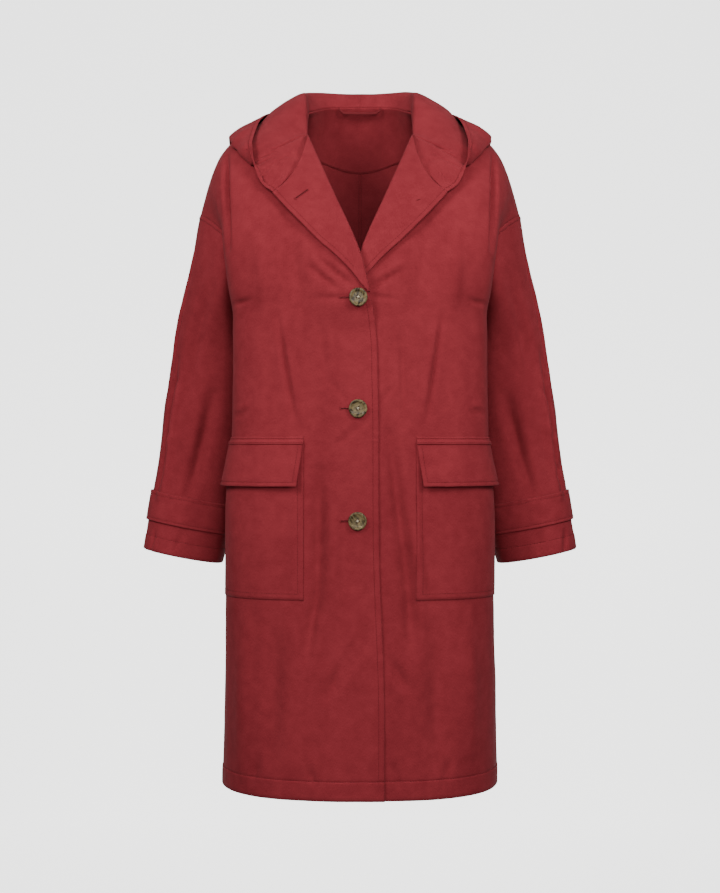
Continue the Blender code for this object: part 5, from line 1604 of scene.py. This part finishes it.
def twill_material():
    """Washed cotton twill: fine diagonal ribs, slubby threads and a soft mottled red, whose slow mottle is
    stretched upright so that it also paints shade of long folds.
    """
    material, nodes, shader = new_material(
        "washed_twill", Roughness=0.92, Sheen_Weight=0.02, Sheen_Roughness=0.45,
        Sheen_Tint=(1.0, 0.72, 0.70, 1.0), Specular_IOR_Level=0.10,
    )
    place = node(nodes, "ShaderNodeTexCoord").outputs["Object"]
    weave = node(nodes, "ShaderNodeUVMap")
    weave.uv_map = "weave"
    # Slow mottle stretched upright: partly the cloth's washed tone, partly painted shade of long vertical
    # folds
    fold_streak_stretch = node(nodes, "ShaderNodeMapping", Vector=place, Scale=(1.0, 1.0, 0.3))
    slow = node(nodes, "ShaderNodeTexNoise", Vector=fold_streak_stretch.outputs["Vector"], Scale=13.0, Detail=4.0,
                Roughness=0.6)
    small = node(nodes, "ShaderNodeTexNoise", Vector=place, Scale=70.0, Detail=5.0, Roughness=0.6)
    wash_and_fold_shade = ramp(nodes, slow.outputs["Fac"], ((0.40, TWILL_DARK), (0.60, TWILL_LIGHT)))
    speckle = ramp(nodes, small.outputs["Fac"], ((0.34, TWILL_DEEP), (0.66, TWILL_PALE)))
    colour = mix(nodes, 0.35, wash_and_fold_shade, speckle)
    threads = node(nodes, "ShaderNodeMapping", Vector=weave.outputs["UV"], Scale=(2600.0, 420.0, 1.0))
    slub = node(nodes, "ShaderNodeTexNoise", Vector=threads.outputs["Vector"], Scale=1.0, Detail=2.0)
    yarn = ramp(nodes, slub.outputs["Fac"], ((0.36, TWILL_DEEP), (0.64, TWILL_PALE)))
    colour = mix(nodes, 0.42, colour, yarn)
    nodes.links.new(colour, shader.inputs["Base Color"])
    ribs = node(nodes, "ShaderNodeTexWave", Vector=weave.outputs["UV"], Scale=TWILL_SCALE, Distortion=0.6,
                Detail=1.0, Detail_Scale=3.0)
    ribs.bands_direction = "DIAGONAL"
    bump = node(nodes, "ShaderNodeBump", Height=ribs.outputs["Fac"], Strength=0.30, Distance=0.00025)
    bump = node(nodes, "ShaderNodeBump", Height=slub.outputs["Fac"], Strength=0.20, Distance=0.0003,
                Normal=bump.outputs["Normal"])
    crepe = node(nodes, "ShaderNodeTexNoise", Vector=place, Scale=240.0, Detail=3.0)
    bump = node(nodes, "ShaderNodeBump", Height=crepe.outputs["Fac"], Strength=0.22, Distance=0.0006,
                Normal=bump.outputs["Normal"])
    nodes.links.new(bump.outputs["Normal"], shader.inputs["Normal"])
    return material


def thread_material(name, dark, light):
    material, nodes, shader = new_material(name, Roughness=0.80, Specular_IOR_Level=0.15)
    place = node(nodes, "ShaderNodeTexCoord").outputs["Object"]
    fine = node(nodes, "ShaderNodeTexNoise", Vector=place, Scale=900.0, Detail=2.0)
    colour = ramp(nodes, fine.outputs["Fac"], ((0.3, dark), (0.7, light)))
    nodes.links.new(colour, shader.inputs["Base Color"])
    bump = node(nodes, "ShaderNodeBump", Height=fine.outputs["Fac"], Strength=0.3, Distance=0.0002)
    nodes.links.new(bump.outputs["Normal"], shader.inputs["Normal"])
    return material


def tape_material():
    """Narrow woven tape: fine ribs across its length."""
    material, nodes, shader = new_material("loop_tape", Roughness=0.85, Specular_IOR_Level=0.15)
    weave = node(nodes, "ShaderNodeUVMap")
    weave.uv_map = "weave"
    ribs = node(nodes, "ShaderNodeTexWave", Vector=weave.outputs["UV"], Scale=500.0, Distortion=0.4)
    nodes.links.new(ramp(nodes, ribs.outputs["Fac"], ((0.2, TAPE_DARK), (0.8, TAPE_LIGHT))),
                    shader.inputs["Base Color"])
    bump = node(nodes, "ShaderNodeBump", Height=ribs.outputs["Fac"], Strength=0.4, Distance=0.0003)
    nodes.links.new(bump.outputs["Normal"], shader.inputs["Normal"])
    return material


def horn_material():
    """Horn-like resin: olive brown and beige clouds with dark streaks, under a clear gloss."""
    material, nodes, shader = new_material("horn_resin", Coat_Weight=0.05, Coat_Roughness=0.2,
                                           Specular_IOR_Level=0.12)
    place = node(nodes, "ShaderNodeTexCoord").outputs["Object"]
    info = node(nodes, "ShaderNodeObjectInfo")
    spot = node(nodes, "ShaderNodeVectorMath")
    spot.operation = "ADD"
    nodes.links.new(place, spot.inputs[0])
    nodes.links.new(info.outputs["Location"], spot.inputs[1])
    cloud = node(nodes, "ShaderNodeTexNoise", Vector=spot.outputs["Vector"], Scale=95.0, Detail=5.0,
                 Roughness=0.6, Distortion=1.3)
    colour = ramp(nodes, cloud.outputs["Fac"], HORN_STOPS)
    streak = node(nodes, "ShaderNodeTexWave", Vector=spot.outputs["Vector"], Scale=70.0, Distortion=9.0,
                  Detail=4.0)
    grain = ramp(nodes, streak.outputs["Fac"], ((0.2, HORN_DARK), (0.8, HORN_PALE)))
    colour = mix(nodes, 0.28, colour, grain)
    nodes.links.new(colour, shader.inputs["Base Color"])
    rough = node(nodes, "ShaderNodeMapRange", Value=cloud.outputs["Fac"])
    rough.inputs["To Min"].default_value = 0.32
    rough.inputs["To Max"].default_value = 0.50
    nodes.links.new(rough.outputs["Result"], shader.inputs["Roughness"])
    return material


# ---- room, light and camera

def backdrop():
    """A pale floor that sweeps up behind the coat."""
    turn = np.linspace(0.0, math.pi / 2, 13)
    y = np.concatenate(((FLOOR_FRONT_Y,), SWEEP_Y + SWEEP_RADIUS * np.sin(turn), (SWEEP_Y + SWEEP_RADIUS,)))
    z = np.concatenate(((FLOOR_Z,), FLOOR_Z + SWEEP_RADIUS * (1 - np.cos(turn)), (SWEEP_TOP_Z,)))
    points = [(x, *p) for x in (-ROOM_HALF_WIDTH, ROOM_HALF_WIDTH) for p in zip(y, z)]
    n = len(y)
    faces = [(i, n + i, n + i + 1, i + 1) for i in range(n - 1)]
    mesh = bpy.data.meshes.new("sweep")
    mesh.from_pydata(points, [], faces)
    mesh.shade_smooth()
    material, nodes, shader = new_material(
        "paper", Roughness=0.95, Specular_IOR_Level=0.1, Base_Color=(*PAPER, 1.0),
        Emission_Color=(1.0, 1.0, 0.995, 1.0), Emission_Strength=PAPER_GLOW,
    )
    grain = node(nodes, "ShaderNodeTexNoise", Vector=node(nodes, "ShaderNodeTexCoord").outputs["Object"],
                 Scale=300.0)
    bump = node(nodes, "ShaderNodeBump", Height=grain.outputs["Fac"], Strength=0.05, Distance=0.0005)
    nodes.links.new(bump.outputs["Normal"], shader.inputs["Normal"])
    mesh.materials.append(material)
    piece = bpy.data.objects.new("sweep", mesh)
    bpy.context.scene.collection.objects.link(piece)


def soft_light(name, place, target, size, energy):
    data = bpy.data.lights.new(name, "AREA")
    data.shape = "RECTANGLE"
    data.size, data.size_y = size
    data.energy = energy
    lamp = bpy.data.objects.new(name, data)
    lamp.location = place
    lamp.rotation_euler = (Vector(target) - Vector(place)).to_track_quat("-Z", "Y").to_euler()
    bpy.context.scene.collection.objects.link(lamp)


def room():
    backdrop()
    for lamp in LAMPS:
        soft_light(*lamp)
    world = bpy.data.worlds.new("room")
    world.use_nodes = True
    sky = world.node_tree.nodes["Background"]
    sky.inputs["Color"].default_value = (1.0, 1.0, 1.0, 1.0)
    sky.inputs["Strength"].default_value = ROOM_LIGHT
    bpy.context.scene.world = world
    data = bpy.data.cameras.new("camera")
    data.lens = CAMERA_LENS
    camera = bpy.data.objects.new("camera", data)
    camera.location = CAMERA_PLACE
    camera.rotation_euler = (math.pi / 2, 0.0, 0.0)
    bpy.context.scene.collection.objects.link(camera)
    bpy.context.scene.camera = camera


# ---- the coat

def line_on(surface, rows, columns, lift=WALL / 2):
    return surface.at(np.asarray(rows, dtype=float), np.asarray(columns, dtype=float), lift)


def declare(piece, kind, name):
    """Look up the flat cut of what a cloth piece shows; nothing is done with it."""
    width, length, area, rests = CUTS[kind]
    rests = [r.format(name) for r in rests]


def build_side(name, side, twill, groove_shaded_thread):
    upper = side < 0
    front, back = front_grid(upper), back_grid()
    body = tree((front, back))
    rings = sleeve_grid(front, back)
    turn, strip = lapel_grid(front, body)
    facing = facing_grid(front, turn, strip)
    hood = hood_grid(neck_chain(front, back, turn, strip, facing))

    thread = Mesh(f"stitching_{name}", side)
    panel, hem = front_surface(front, name, upper)
    lapel, shown = lapel_surfaces(strip, front)
    mesh = Mesh(f"cloth_front_{name}", side)
    mesh.shell(panel, thick_hem(panel, HEM_DEPTH))
    mesh.shell(lapel, WALL)
    piece = mesh.build(twill, "twill", (f"front_panel_{name}",))
    declare(piece, "front", name)

    mesh = Mesh(f"cloth_facing_{name}", side)
    mesh.shell(shown, FACING_WALL)
    declare(mesh.build(twill, "twill", (f"front_facing_{name}",)), "facing", name)

    rear = back_surface(back, name)
    mesh = Mesh(f"cloth_back_{name}", side)
    mesh.shell(rear, thick_hem(rear, HEM_DEPTH))
    declare(mesh.build(twill, "twill", (f"back_panel_{name}",)), "back", name)

    sleeve = sleeve_surface(rings, name)
    mesh = Mesh(f"cloth_sleeve_{name}", side)
    mesh.shell(sleeve, thick_hem(sleeve, CUFF_HEM_DEPTH))
    declare(mesh.build(twill, "twill", (f"sleeve_{name}",)), "sleeve", name)

    strap = strap_surface(sleeve)
    mesh = Mesh(f"cloth_strap_{name}", side)
    mesh.shell(strap, TRIM_WALL)
    declare(mesh.build(twill, "twill", (f"cuff_strap_{name}",)), "strap", name)

    pouch = hood_surface(hood, name)
    mesh = Mesh(f"cloth_hood_{name}", side)
    mesh.shell(pouch, WALL)
    declare(mesh.build(twill, "twill", (f"hood_{name}",)), "hood", name)

    for kind, cloth in pocket_set(panel, name, thread).items():
        mesh = Mesh(f"cloth_{kind}_{name}", side)
        mesh.shell(cloth, TRIM_WALL)
        declare(mesh.build(twill, "twill", (f"{kind}_{name}",)), kind, name)

    last = len(front) - 1
    if upper:
        rows = np.linspace(LAST_LAPEL_ROW + 0.6, last - 0.02, 160)
        thread.stitch(*line_on(panel, rows, panel.near_edge(rows, EDGE_STITCH)))
    columns = np.linspace(0.0, FRONT_COLUMNS, 160)
    thread.stitch(*line_on(panel, np.full(160, hem), columns, (WALL + HEM_STEP) / 2))
    columns = np.linspace(0.0, NECK_COLUMNS + FRONT_COLUMNS, 200)
    thread.stitch(*line_on(rear, np.full(200, hem), columns, (WALL + HEM_STEP) / 2))
    rows = np.linspace(FACING_ROWS + 0.1, last - 0.1, 200)
    for lift in (WALL / 2, -WALL / 2):
        points, out = line_on(rear, rows, rear.near_edge(rows, SEAM_STITCH), lift)
        thread.stitch(points, out * np.sign(lift))
    rows = np.linspace(0.05, UPPER_ROWS, 120)
    thread.stitch(*line_on(panel, rows, panel.near_edge(rows, ARMHOLE_STITCH, last=True)))
    thread.stitch(*line_on(rear, rows, rear.near_edge(rows, ARMHOLE_STITCH, last=True)))
    columns = np.linspace(0.2, FRONT_COLUMNS - 0.1, 100)
    thread.stitch(*line_on(rear, np.full(100, SHOULDER_STITCH), columns + NECK_COLUMNS))
    ring_line(thread, sleeve, CUFF_HEM_DEPTH, WALL + HEM_STEP)
    ring_line(thread, strap, TRIM_STITCH, TRIM_WALL)
    ring_line(thread, strap, TRIM_STITCH, TRIM_WALL, low=False)
    count = pouch.columns[-1]
    columns = np.linspace(0.15, count, 220)
    run = distance_along(pouch.grid, 0)
    rows = np.array([np.interp(run[-1, i] - RIM_STITCH, run[:, i], pouch.rows) for i in range(run.shape[1])])
    rows = np.interp(columns, pouch.columns, rows)
    for lift in (WALL / 2, -WALL / 2):
        points, out = line_on(pouch, rows, columns, lift)
        thread.stitch(points, out * np.sign(lift))
    rows = np.linspace(shown.rows[0] + 0.05, shown.rows[-1] - 0.9, 120)
    inset = shown.near_edge(rows, LAPEL_STITCH + FACING_WRAP_RUN, last=True)
    thread.stitch(*line_on(shown, rows, inset, FACING_WALL / 2))
    thread.build(groove_shaded_thread, "twill")
    return panel, rear, shown


def main():
    room()
    twill = twill_material()
    # Red thread, darkened partly as painted shade of the stitch grooves
    groove_shaded_thread = thread_material("red_thread_with_groove_shade", THREAD_DARK, THREAD_LIGHT)
    # Near-black material for the buttonhole slits: painted shade
    shade = thread_material("painted_slit_shade", SLIT_SHADE_DARK, SLIT_SHADE_LIGHT)
    cream = thread_material("cream_thread", CREAM_DARK, CREAM_LIGHT)
    tape = tape_material()
    horn = horn_material()

    _, _, left_facing = build_side("left", 1, twill, groove_shaded_thread)
    upper, rear, right_facing = build_side("right", -1, twill, groove_shaded_thread)

    rows = np.linspace(0.0, FACING_ROWS, 4 * 8 + 1)[:, None]
    columns = np.linspace(0.0, FACING_COLUMNS, 8 * 7 + 1)[None]
    inward = -((WALL + FACING_WALL) / 2 + LAYER_GAP)
    half, _ = rear.at(rows, columns, inward + 0.0 * rows * columns)
    half[:, 0, 0] = 0.0
    whole = np.concatenate((mirrored(half[:, :0:-1], -1), half), axis=1)
    neck = Surface(whole, rows[:, 0], np.arange(whole.shape[1]))
    neck.move(groove(neck.edge_distance(0, last=True), BACK_FACING_STITCH))
    mesh = Mesh("cloth_back_neck_facing")
    mesh.shell(neck, FACING_WALL)
    declare(mesh.build(twill, "twill", ("back_neck_facing",)), "back_neck_facing", "")

    details = Mesh("neck_stitching")
    edge_line(details, neck, BACK_FACING_STITCH, ("low",), wall=FACING_WALL)
    details.build(groove_shaded_thread, "twill")

    loop = loop_surface()
    mesh = Mesh("hanger_tape")
    mesh.shell(loop, TRIM_WALL)
    declare(mesh.build(tape, "loop", ("hanger_loop",)), "hanger_loop", "")

    # Buttonholes, each with a near-black tube of painted shade along its slit
    holes, slit_shades = Mesh("buttonholes_right", -1), Mesh("buttonhole_slits_right", -1)
    panel = tree((upper.grid,))
    for x, z in BUTTON_PLACES:
        buttonhole(holes, slit_shades, panel, (HOLE_START_X, z), (HOLE_END_X, z))
    buttonhole(holes, slit_shades, tree((right_facing.grid,)), *LAPEL_HOLE)
    holes.build(twill, "twill")
    slit_shades.build(shade, "twill")
    spot = Mesh("lapel_bar_left")
    x, z = LAPEL_SPOT
    bar = [(x + d, z + 0.3 * d) for d in np.linspace(-0.0025, 0.0025, 7)]
    face = tree((left_facing.grid,))
    points = np.array([on_front(face, *p, FACING_WALL / 2 + 0.0002) for p in bar])
    out = np.array([hit_normal(face, *p) for p in bar])
    spot.tubes(points, out, np.full(len(points), HOLE_THREAD), 6)
    spot.build(groove_shaded_thread, "twill")

    for number, place in enumerate(BUTTON_PLACES, start=1):
        button(number, place, panel, horn, cream)


main()
